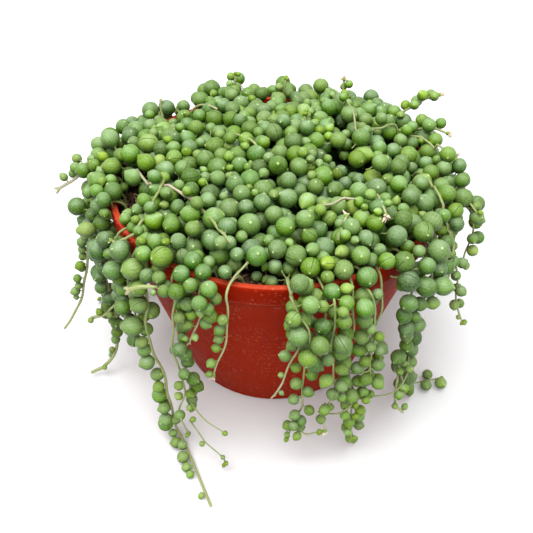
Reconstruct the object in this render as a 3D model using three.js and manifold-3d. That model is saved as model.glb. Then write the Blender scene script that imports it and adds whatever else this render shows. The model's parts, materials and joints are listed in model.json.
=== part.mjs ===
// A string of pearls plant in its plastic nursery pot.
// Millimetres and degrees. The pot stands on z = 0 round the z axis, and its front faces -y.
// An azimuth is counted from the front towards +x.
import * as THREE from "three";
import { mergeVertices } from "three/addons/utils/BufferGeometryUtils.js";
import Module from "manifold-3d";

const wasm = await Module();
wasm.setup();

// Driving dimensions of the pot: a tapered shell with a flat lip and an upright band below it.
const pot = {
  height: 95,
  rimRadius: 70,
  lipWidth: 3,
  bandHeight: 8.2,
  bandStep: 1.8,
  bandTaper: 0.5,
  ledge: 0.4,
  edge: 0.7,
  baseRadius: 43.3,
  baseChamfer: 1.2,
  wall: 1.6,
  floor: 2.2,
  sides: 40,
  drainHoles: 6,
  drainRadius: 4,
  drainCircle: 27,
  drainSides: 6,
  colour: 0xa92a14,
};

// The peat fills the pot to a little below its rim. Stems stand in plain holes in it.
const soil = {
  top: 87,
  edgeDrop: 1.5,
  gap: 0.4,
  rings: [55, 40, 20, 0],
  bump: 0.6,
  bumpLength: 5.5,
  sides: 22,
  pegRadius: 1.2,
  pegSides: 4,
  pegDepth: 8,
  pegGap: 0.4,
  colour: 0x2a1c14,
};

// The mound over the middle: pearls that stand out of a low core of crowded stems and leaves.
// They are larger than life and fewer, and cover it as the real ones do.
const crown = {
  radius: 60.2,
  innerRadius: 53.5,
  innerPearls: 55,
  pearlRadius: 6.4,
  pearlSpread: 0.12,
  goldenAngle: 137.508,
  angleJitter: 3,
  heightJitter: 2.4,
  centreHeight: 112,
  edgeDrop: 12,
  stemRoom: 0.5,
  sink: 1.6,
  bottom: 88.3,
  coreRadius: 58,
  coreUndercut: 6,
  coreEdge: 1.5,
  coreSides: 14,
  pegs: 3,
  pegCircle: 30,
  pegTurn: 20,
  pegSink: 3,
  colour: 0x6d9c55,
};

// Every trailing stem rises out of the peat, crosses the rim and hangs outside the wall. crest lists the
// radius and height of the points that take it over the rim. Pearls on the rim are larger than life and
// close together, so that they hide it, and below it they have their true size.
const strand = {
  rootRadius: 63.2,
  rootLift: 1.6,
  pegTop: 3.2,
  stemRadius: 1.1,
  stemSides: 3,
  stemStep: 9,
  crest: [
    [63.6, 94],
    [65.6, 97.6],
    [70.3, 99.4],
    [74.8, 96.5],
  ],
  firstPearl: 16,
  rimStretch: 30,
  rimGap: 7.5,
  rimPearls: [5.2, 4.8],
  pearlSpread: 0.14,
  gapJitter: 0.2,
  taper: 1.4,
  hug: 0.76,
  reach: 0.95,
  crowding: 0.55,
  lean: [55, 80],
  shrinks: [1, 0.88, 0.76],
  clearance: 0.4,
  floorGap: 0.3,
  soilGap: 1,
  beadStep: 1.5,
  colour: 0x78a85c,
};

// Trailing stems of the front and both sides. way lists what each passes below the rim, as azimuth,
// radius and height. gap is the distance between its pearls, first and last are their radii.
const trailing = [
  { azimuth: -97, way: [[-93, 80, 98], [-91, 86, 92], [-90, 93, 87]], gap: 15.5, first: 4.3, last: 2.2 },
  {
    azimuth: -85,
    way: [[-85, 78.5, 78], [-85, 81, 66], [-85, 85, 52], [-85, 89.5, 37], [-85, 95, 21], [-85.5, 103, 8]],
    gap: 19.5, first: 4.3, last: 1.9,
  },
  {
    azimuth: -70,
    way: [[-70, 76.5, 78], [-70, 76, 58], [-70, 75.5, 38], [-70, 76, 20], [-70, 82, 7], [-70, 91, 3]],
    gap: 19.5, first: 4.4, last: 2.2,
  },
  { azimuth: -54, way: [[-53, 75.5, 80], [-52.5, 74.5, 62], [-52, 74, 44]], gap: 18, first: 4.5, last: 3 },
  {
    azimuth: -39,
    way: [
      [-38.5, 77, 80], [-39.5, 77, 64], [-37.5, 77, 50], [-35, 77, 34], [-33, 76.5, 16], [-30.5, 77.5, 5],
      [-24, 84, 2.6], [-18, 93, 2.4], [-13.5, 102, 2.4],
    ],
    gap: 18, first: 4.6, last: 1.8,
  },
  {
    azimuth: -28,
    way: [[-29, 75, 78], [-28.5, 74, 60], [-27.5, 74, 42], [-27, 73.5, 22]],
    gap: 18.5, first: 4.5, last: 2.2,
  },
  { azimuth: -19, way: [[-20, 76, 88], [-21.5, 76.5, 78], [-22, 77, 66]], gap: 16, first: 4.6, last: 3.4 },
  {
    azimuth: -9.5,
    way: [[-13, 74, 88], [-13.5, 74, 74], [-15, 74, 62], [-18, 74.5, 50]],
    gap: 20.5, first: 4, last: 1.8,
  },
  {
    azimuth: 3,
    way: [[6, 77, 88], [7, 77, 78], [6, 76.5, 66], [3.5, 76, 55], [1, 76, 46]],
    gap: 17.5, first: 4.6, last: 2,
  },
  {
    azimuth: 13.5,
    way: [[14, 76, 84], [12.5, 76, 72], [10.5, 76, 58], [10.5, 76, 44], [8.5, 75, 30], [6.5, 74.5, 15]],
    gap: 18.5, first: 4.6, last: 2.2,
  },
  {
    azimuth: 23.5,
    way: [[21.5, 77, 84], [22, 77, 68], [23, 77, 53], [25, 76.5, 36], [26, 76, 20], [28, 76.5, 5]],
    gap: 18, first: 4.6, last: 2.2,
  },
  {
    azimuth: 33,
    way: [[31, 75.5, 86], [31, 75, 70], [31, 75, 56], [31, 75, 42]],
    gap: 17.5, first: 4.6, last: 3.2,
  },
  {
    azimuth: 42.5,
    way: [
      [41, 77, 84], [42.5, 76, 70], [45, 75, 54], [48, 74, 36], [54, 72.5, 18], [60, 73, 6],
      [65, 78, 3.4], [69, 85, 3],
    ],
    gap: 19, first: 4.6, last: 2.6,
  },
  { azimuth: 52.5, way: [[52, 76, 86], [51.5, 76, 74]], gap: 16, first: 5, last: 4 },
  {
    azimuth: 64,
    way: [[65, 77, 88], [65, 79.5, 78], [65, 83, 68], [65, 85, 56], [65, 88.5, 48]],
    gap: 17.5, first: 4.4, last: 2,
  },
  { azimuth: 76.5, way: [[77, 81, 92], [77, 83.5, 80], [77, 83, 66]], gap: 16, first: 4.6, last: 3.2 },
];

// Trailing stems of the far side, where lengths repeat in turn. drops is how far below the rim a stem
// ends, and runs is how far it lies along the ground once it is down.
const farSide = {
  from: 89,
  to: 252,
  count: 12,
  drops: [36, 62, 90, 48, 90, 28, 72],
  runs: [0, 0, 26, 0, 18, 0, 0],
  dropSpread: 0.12,
  level: 17,
  radius: 76,
  radiusSway: 1.6,
  sway: 2.2,
  landing: 7,
  lying: 3,
  runStep: 8.5,
  runTurn: 3,
  gap: 19,
  first: 4.6,
  last: 2.3,
};

function makeRandom(seed) {
  let state = seed;
  return () => {
    state = (state * 1664525 + 1013904223) % 4294967296;
    return state / 4294967296;
  };
}

// A random value within spread of 1, so that copies differ a little in size.
function about(random, spread) {
  return 1 + spread * (random() - 0.5);
}

function place(azimuth, radius, height) {
  const turn = THREE.MathUtils.degToRad(azimuth);
  return new THREE.Vector3(radius * Math.sin(turn), -radius * Math.cos(turn), height);
}

function ring(count, radius, turn) {
  return Array.from({ length: count }, (_, i) => place(turn + (360 * i) / count, radius, 0));
}

// Solids

function solidOf(geometry) {
  const bare = geometry.clone();
  bare.deleteAttribute("normal");
  bare.deleteAttribute("uv");
  const merged = mergeVertices(bare, 1e-4);
  const build = (triVerts) =>
    new wasm.Manifold(
      new wasm.Mesh({ numProp: 3, vertProperties: merged.attributes.position.array, triVerts }),
    );
  const triVerts = new Uint32Array(merged.index.array);
  const solid = build(triVerts);
  return solid.volume() > 0 ? solid : build(triVerts.reverse());
}

function geometryOf(solid) {
  const mesh = solid.getMesh();
  const geometry = new THREE.BufferGeometry();
  geometry.setAttribute("position", new THREE.BufferAttribute(mesh.vertProperties, 3));
  geometry.setIndex(new THREE.BufferAttribute(mesh.triVerts, 1));
  geometry.computeVertexNormals();
  return geometry;
}

function joined(solids) {
  return solids.reduce((whole, next) => whole.add(next));
}

function turned(profile, sides) {
  const points = profile.map(([radius, height]) => new THREE.Vector2(radius, height));
  return new THREE.LatheGeometry(points, sides).rotateX(Math.PI / 2);
}

function upright(radius, low, high, sides, at) {
  const rod = new THREE.CylinderGeometry(radius, radius, high - low, sides).rotateX(Math.PI / 2);
  return solidOf(rod.translate(at.x, at.y, (low + high) / 2));
}

function curveThrough(points) {
  return new THREE.CatmullRomCurve3(points, false, "catmullrom", 0.5);
}

function stepsAlong(curve) {
  return Math.max(2, Math.round(curve.getLength() / strand.stemStep));
}

function tubeAlong(curve, radius, sides) {
  const section = new THREE.Shape();
  for (let i = 0; i < sides; i++) {
    const turn = (2 * Math.PI * i) / sides;
    const corner = [radius * Math.cos(turn), radius * Math.sin(turn)];
    if (i === 0) section.moveTo(...corner);
    else section.lineTo(...corner);
  }
  const shape = { steps: stepsAlong(curve), extrudePath: curve, bevelEnabled: false };
  return solidOf(new THREE.ExtrudeGeometry(section, shape));
}

function pearlSolid(pearl, random) {
  const ball = new THREE.IcosahedronGeometry(pearl.radius, 0);
  ball.rotateX(random() * Math.PI).rotateY(random() * Math.PI);
  return solidOf(ball.translate(pearl.centre.x, pearl.centre.y, pearl.centre.z));
}

// Pot

const lipInner = pot.rimRadius - pot.lipWidth;
const bandBottom = pot.height - pot.bandHeight;
const wallTop = pot.rimRadius - pot.bandStep;
const outside = [
  [0, 0],
  [pot.baseRadius - pot.baseChamfer, 0],
  [pot.baseRadius, pot.baseChamfer],
  [wallTop, bandBottom - pot.ledge],
  [pot.rimRadius - pot.bandTaper, bandBottom],
  [pot.rimRadius, pot.height - pot.edge],
  [pot.rimRadius - pot.edge, pot.height],
];
const inside = [
  [lipInner, pot.height],
  [wallTop - pot.wall, bandBottom - pot.wall],
  [pot.baseRadius - pot.wall, pot.floor],
  [0, pot.floor],
];

function potSolid() {
  const shell = solidOf(turned([...outside, ...inside], pot.sides));
  const centres = ring(pot.drainHoles, pot.drainCircle, 0);
  const holes = centres.map((at) => upright(pot.drainRadius, -1, pot.floor + 1, pot.drainSides, at));
  return shell.subtract(joined(holes));
}

// Distance from a point to the pot's skin, worked out in the plane through the pot's axis.
function distanceToPot(point) {
  const here = new THREE.Vector2(Math.hypot(point.x, point.y), point.z);
  const skin = [...outside, ...inside].map(([radius, height]) => new THREE.Vector2(radius, height));
  let nearest = Infinity;
  for (let i = 1; i < skin.length; i++) {
    const along = skin[i].clone().sub(skin[i - 1]);
    const share = here.clone().sub(skin[i - 1]).dot(along) / along.lengthSq();
    const foot = skin[i - 1].clone().addScaledVector(along, THREE.MathUtils.clamp(share, 0, 1));
    nearest = Math.min(nearest, foot.distanceTo(here));
  }
  return nearest;
}

// Peat

function innerRadius(height) {
  const [, high, low] = inside;
  return low[0] + ((high[0] - low[0]) * (height - low[1])) / (high[1] - low[1]);
}

function soilSolid(pegPlaces) {
  const low = pot.floor + soil.gap;
  const edgeHeight = soil.top - soil.edgeDrop;
  const profile = [
    [0, low],
    [innerRadius(low) - soil.gap, low],
    [innerRadius(edgeHeight) - soil.gap, edgeHeight],
    ...soil.rings.map((radius) => [radius, soil.top]),
  ];
  const body = turned(profile, soil.sides);
  const position = body.attributes.position;
  for (let i = 0; i < position.count; i++) {
    const [x, y, z] = [position.getX(i), position.getY(i), position.getZ(i)];
    const bump = soil.bump * Math.sin(x / soil.bumpLength + 1) * Math.cos(y / soil.bumpLength);
    if (z > edgeHeight + 0.1) position.setZ(i, z + bump);
  }
  const holeRadius = soil.pegRadius + soil.pegGap / Math.cos(Math.PI / soil.pegSides);
  const holeBottom = soil.top - soil.pegDepth - soil.pegGap;
  const holeTop = soil.top + 2 * soil.bump;
  const holes = pegPlaces.map((at) => upright(holeRadius, holeBottom, holeTop, soil.pegSides, at));
  return solidOf(body).subtract(joined(holes));
}

function peg(at, top) {
  return upright(soil.pegRadius, soil.top - soil.pegDepth, top, soil.pegSides, at);
}

// Mound over the middle

function moundHeight(radius) {
  return crown.centreHeight - crown.edgeDrop * (radius / crown.radius) ** 2;
}

// A spiral of pearls, and a ring of them round it that sit between the stems that leave the pot. One that
// is too near a stem moves up and in until it clears it.
function crownPearls(stems, azimuths) {
  const random = makeRandom(11);
  const inner = Array.from({ length: crown.innerPearls }, (_, i) => [
    crown.goldenAngle * i,
    crown.innerRadius * Math.sqrt((i + 0.5) / crown.innerPearls),
  ]);
  const edge = azimuths.map((azimuth, i) => {
    const next = i + 1 < azimuths.length ? azimuths[i + 1] : azimuths[0] + 360;
    return [(azimuth + next) / 2, crown.radius];
  });
  return [...inner, ...edge].map(([turn, distance]) => {
    const azimuth = turn + crown.angleJitter * (random() - 0.5);
    const height = moundHeight(distance) + crown.heightJitter * (random() - 0.5);
    const radius = crown.pearlRadius * about(random, crown.pearlSpread);
    const centre = place(azimuth, distance, height);
    const step = place(azimuth, -crown.stemRoom, crown.stemRoom);
    while (stems.some((bead) => bead.centre.distanceTo(centre) < radius + bead.radius + crown.stemRoom)) {
      centre.add(step);
    }
    return { centre, radius, owner: "crown" };
  });
}

const crownPegs = ring(crown.pegs, crown.pegCircle, crown.pegTurn);

function crownSolid(pearls) {
  const random = makeRandom(12);
  const middle = moundHeight(crown.coreRadius / 2) - crown.sink;
  const edge = moundHeight(crown.coreRadius) - crown.sink;
  const core = turned(
    [
      [0, crown.bottom],
      [crown.coreRadius - crown.coreUndercut, crown.bottom],
      [crown.coreRadius, edge - crown.coreEdge],
      [crown.coreRadius - crown.coreEdge, edge],
      [crown.coreRadius / 2, middle],
      [0, crown.centreHeight - crown.sink],
    ],
    crown.coreSides,
  );
  return joined([
    solidOf(core),
    ...pearls.map((pearl) => pearlSolid(pearl, random)),
    ...crownPegs.map((at) => peg(at, crown.bottom + crown.pegSink)),
  ]);
}

// Trailing stems

function farSideStrands() {
  const random = makeRandom(21);
  return Array.from({ length: farSide.count }, (_, i) => {
    const azimuth = farSide.from + ((farSide.to - farSide.from) * i) / (farSide.count - 1);
    const drop = farSide.drops[i % farSide.drops.length] * about(random, farSide.dropSpread);
    const run = farSide.runs[i % farSide.runs.length];
    const lowest = run > 0 ? farSide.landing : 0;
    const levels = Math.round(drop / farSide.level);
    const way = [];
    for (let k = 1; k <= levels; k++) {
      const swayed = azimuth + farSide.sway * (random() - 0.5);
      const radius = farSide.radius + farSide.radiusSway * (random() - 0.5);
      way.push([swayed, radius, Math.max(pot.height - (drop * k) / levels, lowest)]);
    }
    const turn = farSide.runTurn * (i % 2 ? 1 : -1);
    for (let k = 1; k * farSide.runStep <= run; k++) {
      way.push([azimuth + turn * k, farSide.radius + farSide.runStep * k, farSide.lying]);
    }
    return { azimuth, way, gap: farSide.gap, first: farSide.first, last: farSide.last };
  });
}

function curveOf({ azimuth, way }) {
  const [start] = way;
  const crest = strand.crest.map(([radius, height], i) => {
    const share = (i + 1) / (strand.crest.length + 1);
    return place(azimuth + (start[0] - azimuth) * share, radius, height);
  });
  const root = place(azimuth, strand.rootRadius, soil.top + strand.rootLift);
  return curveThrough([root, ...crest, ...way.map((point) => place(...point))]);
}

// How far along its stem each pearl sits: close together over the rim, then evenly out to the tip.
function pearlStops(spec, length, random) {
  const stops = [];
  let along = strand.firstPearl;
  while (along < strand.rimStretch) {
    stops.push(along);
    along += strand.rimGap * about(random, strand.gapJitter);
  }
  const last = stops[stops.length - 1];
  const free = length - spec.last - last;
  const count = Math.max(1, Math.round(free / spec.gap));
  for (let k = 1; k <= count; k++) {
    const jitter = k < count ? strand.gapJitter * (random() - 0.5) : 0;
    stops.push(last + (free * (k + jitter)) / count);
  }
  return stops;
}

function isFree(spot, at, own, taken) {
  const { centre, radius, owner } = spot;
  const fromAxis = Math.hypot(centre.x, centre.y);
  const inPeat = fromAxis < lipInner && centre.z - radius < soil.top + strand.soilGap;
  const inWall = fromAxis >= lipInner && fromAxis < pot.rimRadius && centre.z < pot.height;
  if (inPeat || inWall || distanceToPot(centre) < radius + strand.clearance) return false;
  if (centre.distanceTo(at) > radius * strand.reach) return false;
  if (own.some((pearl) => pearl.centre.distanceTo(centre) < strand.crowding * (pearl.radius + radius))) {
    return false;
  }
  return taken.every(
    (other) =>
      other.owner === owner || other.centre.distanceTo(centre) > other.radius + radius + strand.clearance,
  );
}

// Pearls sit by turns left and right of their stem, and turn aside from whatever is already there.
function strandPearls(spec, owner, taken) {
  const random = makeRandom(300 + owner * 7);
  const curve = curveOf(spec);
  const length = curve.getLength();
  const knots = curve.getSpacedPoints(stepsAlong(curve));
  const pearls = [];
  pearlStops(spec, length, random).forEach((along, i) => {
    const share = along / length;
    const knot = Math.min(Math.floor(share * (knots.length - 1)), knots.length - 2);
    const at = knots[knot].clone().lerp(knots[knot + 1], share * (knots.length - 1) - knot);
    const tangent = knots[knot + 1].clone().sub(knots[knot]).normalize();
    const outward = new THREE.Vector3(at.x, at.y, 0).setLength(at.z > pot.height ? 0.3 : 1).setZ(0.9);
    outward.addScaledVector(tangent, -outward.dot(tangent)).normalize();
    const onRim = along < strand.rimStretch;
    const fullSize = onRim
      ? THREE.MathUtils.lerp(...strand.rimPearls, along / strand.rimStretch)
      : THREE.MathUtils.lerp(spec.first, spec.last, share ** strand.taper);
    const size = fullSize * about(random, strand.pearlSpread);
    const lean = THREE.MathUtils.lerp(...strand.lean, random()) * (i % 2 ? 1 : -1);
    const spots = strand.shrinks.flatMap((shrink) =>
      [lean, -lean, lean / 3, lean * 1.5, -lean * 1.5, 180].map((angle) => {
        const aside = outward.clone().applyAxisAngle(tangent, THREE.MathUtils.degToRad(angle));
        const radius = size * shrink;
        const centre = at.clone().addScaledVector(aside, radius * strand.hug);
        centre.z = Math.max(centre.z, radius + strand.floorGap);
        return { centre, radius, owner };
      }),
    );
    const free = spots.find((spot) => isFree(spot, at, pearls, taken));
    if (free) pearls.push(free);
  });
  return pearls;
}

// Small balls along a stem, which other stems' pearls stay clear of.
function stemBeads(spec, owner) {
  const curve = curveOf(spec);
  const count = Math.ceil(curve.getLength() / strand.beadStep);
  return curve.getSpacedPoints(count).map((centre) => ({ centre, radius: strand.stemRadius, owner }));
}

function strandSolid(spec, owner, pearls) {
  const random = makeRandom(900 + owner);
  return joined([
    tubeAlong(curveOf(spec), strand.stemRadius, strand.stemSides),
    peg(place(spec.azimuth, strand.rootRadius, 0), soil.top + strand.pegTop),
    ...pearls.map((pearl) => pearlSolid(pearl, random)),
  ]);
}

// Assembly

const finishes = {
  pot: { color: pot.colour, roughness: 0.4, metalness: 0 },
  soil: { color: soil.colour, roughness: 0.95, metalness: 0 },
  crown: { color: crown.colour, roughness: 0.5, metalness: 0 },
  strand: { color: strand.colour, roughness: 0.5, metalness: 0 },
};

function named(name, solid, finish) {
  const mesh = new THREE.Mesh(geometryOf(solid), new THREE.MeshStandardMaterial(finishes[finish]));
  mesh.name = name;
  return mesh;
}

const specs = [...trailing, ...farSideStrands()];
const stems = specs.flatMap(stemBeads);
const mound = crownPearls(stems, specs.map(({ azimuth }) => azimuth));
const taken = [...stems, ...mound];

const plant = new THREE.Group();
plant.add(named("crown", crownSolid(mound), "crown"));
specs.forEach((spec, owner) => {
  const pearls = strandPearls(spec, owner, taken);
  taken.push(...pearls);
  const name = "strand_" + String(owner + 1).padStart(2, "0");
  plant.add(named(name, strandSolid(spec, owner, pearls), "strand"));
});

const pegPlaces = [...crownPegs, ...specs.map(({ azimuth }) => place(azimuth, strand.rootRadius, 0))];
const part = new THREE.Group();
part.add(named("pot", potSolid(), "pot"));
part.add(named("soil", soilSolid(pegPlaces), "soil"));
part.add(plant);

export default part;
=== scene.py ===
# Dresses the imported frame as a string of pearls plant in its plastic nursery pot.
# Shapes are worked out in millimetres and degrees and put into the meshes in metres.
# An azimuth is counted from the front (-y) towards +x.
import json
import math

import bpy
from mathutils import Matrix, Quaternion, Vector

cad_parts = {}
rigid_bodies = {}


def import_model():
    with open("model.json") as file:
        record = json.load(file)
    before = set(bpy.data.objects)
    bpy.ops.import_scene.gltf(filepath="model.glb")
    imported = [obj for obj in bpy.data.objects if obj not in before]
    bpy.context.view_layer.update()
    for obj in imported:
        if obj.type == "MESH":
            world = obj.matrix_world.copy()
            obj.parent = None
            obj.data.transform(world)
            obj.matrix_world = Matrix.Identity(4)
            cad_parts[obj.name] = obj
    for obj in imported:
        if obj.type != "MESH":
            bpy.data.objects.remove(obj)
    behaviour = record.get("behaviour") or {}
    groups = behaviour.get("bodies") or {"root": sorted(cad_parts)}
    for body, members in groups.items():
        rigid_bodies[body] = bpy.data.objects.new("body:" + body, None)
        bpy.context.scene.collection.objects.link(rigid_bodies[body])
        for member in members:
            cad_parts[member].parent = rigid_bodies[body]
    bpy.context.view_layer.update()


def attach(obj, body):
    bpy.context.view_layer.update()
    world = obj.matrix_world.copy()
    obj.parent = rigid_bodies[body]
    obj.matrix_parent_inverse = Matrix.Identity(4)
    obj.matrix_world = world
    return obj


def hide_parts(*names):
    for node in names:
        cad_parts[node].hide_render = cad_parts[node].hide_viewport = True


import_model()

mm = 0.001


# A row of shares from 0 to 1 that is the same in every run.
def makeRandom(seed):
    state, factor, addend, span = seed, 1664525, 1013904223, 4294967296

    def draw():
        nonlocal state
        state = (state * factor + addend) % span
        return state / span

    return draw


def jitter(random, spread):
    return spread * (random() - 0.5)


def about(random, spread):
    return 1 + jitter(random, spread)


def randomDirection(random):
    height = 2 * random() - 1
    turn = 2 * math.pi * random()
    flat = math.sqrt(1 - height * height)
    return Vector((flat * math.cos(turn), flat * math.sin(turn), height))


def lerp(low, high, share):
    return low + (high - low) * share


def clamp(value):
    return max(0.0, min(1.0, value))


def place(azimuth, radius, height):
    turn = math.radians(azimuth)
    return Vector((radius * math.sin(turn), -radius * math.cos(turn), height))


def azimuthOf(x, y):
    return math.degrees(math.atan2(x, -y))


def reachOf(point):
    return math.hypot(point.x, point.y)


# A smooth curve through the points, cut into equal steps of about the given length.
def smoothLine(points, step, cuts=20):
    ends = [2 * points[0] - points[1], *points, 2 * points[-1] - points[-2]]
    fine = []
    for a, b, c, d in zip(ends, ends[1:], ends[2:], ends[3:]):
        for k in range(cuts):
            t = k / cuts
            square = (2 * a - 5 * b + 4 * c - d) * t * t
            fine.append(0.5 * (2 * b + (c - a) * t + square + (3 * b - a - 3 * c + d) * t ** 3))
    fine.append(points[-1].copy())
    reach = [0.0]
    for a, b in zip(fine, fine[1:]):
        reach.append(reach[-1] + (b - a).length)
    count = max(2, round(reach[-1] / step))
    line, k = [], 0
    for i in range(count + 1):
        goal = reach[-1] * i / count
        while k < len(fine) - 2 and reach[k + 1] < goal:
            k += 1
        span = reach[k + 1] - reach[k]
        line.append(fine[k].lerp(fine[k + 1], (goal - reach[k]) / span if span else 0))
    return line, reach[-1]


def newPile():
    return {"points": [], "faces": [], "tones": [], "spots": [], "slots": []}


# tone holds three numbers for the colours, the same for all points or a list of them, and spots where each
# point is on its own leaf.
def addToPile(pile, points, faces, tone=(0, 0, 0), spots=None, slot=0):
    start = len(pile["points"])
    pile["points"].extend(points)
    pile["faces"].extend([tuple(start + i for i in face) for face in faces])
    pile["tones"].extend(tone if isinstance(tone, list) else [tone] * len(points))
    pile["spots"].extend(spots if spots else [(0, 0, 0)] * len(points))
    pile["slots"].extend([slot] * len(faces))


def makePiece(name, pile, materials, smooth=True):
    mesh = bpy.data.meshes.new(name)
    mesh.from_pydata([(x * mm, y * mm, z * mm) for x, y, z in pile["points"]], [], pile["faces"])
    tone = mesh.attributes.new("tone", "FLOAT_COLOR", "POINT")
    tone.data.foreach_set("color", [v for t in pile["tones"] for v in (*t, 1.0)])
    spot = mesh.attributes.new("spot", "FLOAT_VECTOR", "POINT")
    spot.data.foreach_set("vector", [v for s in pile["spots"] for v in s])
    for material in materials:
        mesh.materials.append(material)
    mesh.polygons.foreach_set("material_index", pile["slots"])
    mesh.polygons.foreach_set("use_smooth", [smooth] * len(mesh.polygons))
    mesh.update()
    piece = bpy.data.objects.new(name, mesh)
    bpy.context.scene.collection.objects.link(piece)
    return piece


def settle(piece, slot, *nodes):
    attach(piece, "root")
    if nodes:
        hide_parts(*nodes)


# Rings of points round the z axis from a profile of radius and height. Radius 0 makes a single point, and
# wobble moves the points of the rings.
def turned(profile, sides, wobble=None):
    points, rings, faces = [], [], []
    for radius, height in profile:
        ring = []
        for i in range(sides if radius else 1):
            point = place(360 * i / sides, radius, height)
            ring.append(len(points))
            points.append(wobble(point) if wobble and radius else point)
        rings.append(ring)
    for low, high in zip(rings, rings[1:]):
        for i in range(sides):
            j = (i + 1) % sides
            if len(low) == 1:
                faces.append((low[0], high[j], high[i]))
            elif len(high) == 1:
                faces.append((low[i], low[j], high[0]))
            else:
                faces.append((low[i], low[j], high[j], high[i]))
    return points, faces


# A tube along the line, closed by a low point at its start and a higher one at its end.
def tube(line, radii, sides, startPoint=0.4, endPoint=0.8):
    points, faces = [], []
    tangent = (line[1] - line[0]).normalized()
    side = tangent.orthogonal().normalized()
    for k, at in enumerate(line):
        ahead = (line[min(k + 1, len(line) - 1)] - line[max(k - 1, 0)]).normalized()
        side = (side - ahead * side.dot(ahead)).normalized()
        up = ahead.cross(side)
        for i in range(sides):
            turn = 2 * math.pi * i / sides
            points.append(at + (side * math.cos(turn) + up * math.sin(turn)) * radii[k])
    start, last = len(points), len(points) - sides
    points.append(line[0] - tangent * radii[0] * startPoint)
    points.append(line[-1] + (line[-1] - line[-2]).normalized() * radii[-1] * endPoint)
    for low in range(0, last, sides):
        for i in range(sides):
            j = (i + 1) % sides
            faces.append((low + i, low + j, low + sides + j, low + sides + i))
    for i in range(sides):
        j = (i + 1) % sides
        faces.append((start, j, i))
        faces.append((start + 1, last + i, last + j))
    return points, faces


def newMaterial(name):
    material = bpy.data.materials.new(name)
    material.use_nodes = True
    tree = material.node_tree
    shader = next(n for n in tree.nodes if n.type == "BSDF_PRINCIPLED")
    return material, tree, shader


# Links the sockets among the values and sets the others.
def feed(tree, node, inputs):
    for key, value in inputs.items():
        if isinstance(value, bpy.types.NodeSocket):
            tree.links.new(value, node.inputs[key])
        else:
            node.inputs[key].default_value = value


def addNode(tree, kind, inputs=None, **settings):
    node = tree.nodes.new(kind)
    for key, value in settings.items():
        setattr(node, key, value)
    feed(tree, node, inputs or {})
    return node


def mathNode(tree, operation, *values):
    return addNode(tree, "ShaderNodeMath", dict(enumerate(values)), operation=operation).outputs[0]


def product(tree, value, *others):
    for other in others:
        value = mathNode(tree, "MULTIPLY", value, other)
    return value


def mixColours(tree, share, first, second):
    node = addNode(tree, "ShaderNodeMix", data_type="RGBA")
    sockets = {s.identifier: i for i, s in enumerate(node.inputs)}
    for key, value in (("Factor_Float", share), ("A_Color", first), ("B_Color", second)):
        feed(tree, node, {sockets[key]: (*value, 1.0) if isinstance(value, tuple) else value})
    return next(s for s in node.outputs if s.identifier == "Result_Color")


def noise(tree, scale, detail, vector=None):
    where = vector or addNode(tree, "ShaderNodeTexCoord").outputs["Object"]
    node = addNode(tree, "ShaderNodeTexNoise", {"Scale": scale, "Detail": detail, "Vector": where})
    return node.outputs["Fac"]


def fade(tree, value, low, high, toLow=0.0, toHigh=1.0):
    limits = {"Value": value, "From Min": low, "From Max": high, "To Min": toLow, "To Max": toHigh}
    return addNode(tree, "ShaderNodeMapRange", limits, interpolation_type="SMOOTHSTEP").outputs["Result"]


# With two or four limits a mask fades between them, with one it is weakened, and with none it stays.
def limited(tree, mask, limits):
    return fade(tree, mask, *limits) if len(limits) > 1 else product(tree, mask, *limits)


# A skin is painted from its look. noises gives the scale and detail of each. The coats lie over the ground
# one after another, each where its mask says, and bumps gives the distance and strength of each. Values that
# are the same all over are in even. tones names the numbers that each point has in its tone.
def makeSkin(name, look, addMasks=None):
    material, tree, shader = newMaterial(name)
    masks = {}
    if "tones" in look:
        tone = addNode(tree, "ShaderNodeAttribute", attribute_name="tone").outputs["Color"]
        masks.update(zip(look["tones"], addNode(tree, "ShaderNodeSeparateColor", {"Color": tone}).outputs))
    for source, (scale, detail) in look["noises"].items():
        masks[source] = noise(tree, scale, detail)
    if addMasks:
        addMasks(tree, masks)
    colour = look[look["ground"]]
    for source, limits, coat in look["coats"]:
        colour = mixColours(tree, limited(tree, masks[source], limits), colour, look[coat])
    if "hues" in look:  # some leaves are bluer or yellower, and some duller
        ownTurn = mathNode(tree, "FRACT", product(tree, masks["waxy"], 13.0))
        tint = {"Color": colour, "Hue": fade(tree, masks["waxy"], 0.25, 1.0, *look["hues"]),
                "Saturation": fade(tree, ownTurn, 0.0, 1.0, *look["strengths"])}
        colour = addNode(tree, "ShaderNodeHueSaturation", tint).outputs["Color"]
    feed(tree, shader, {"Base Color": colour, **look["even"]})
    if "roughness" in look:
        source, limits = look["roughness"]
        feed(tree, shader, {"Roughness": limited(tree, masks[source], limits)})
    below = {}
    for source, distance, strength in look["bumps"]:
        bump = {"Height": masks[source], "Distance": distance, "Strength": strength, **below}
        below = {"Normal": addNode(tree, "ShaderNodeBump", bump).outputs["Normal"]}
    feed(tree, shader, below)
    return material


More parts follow.
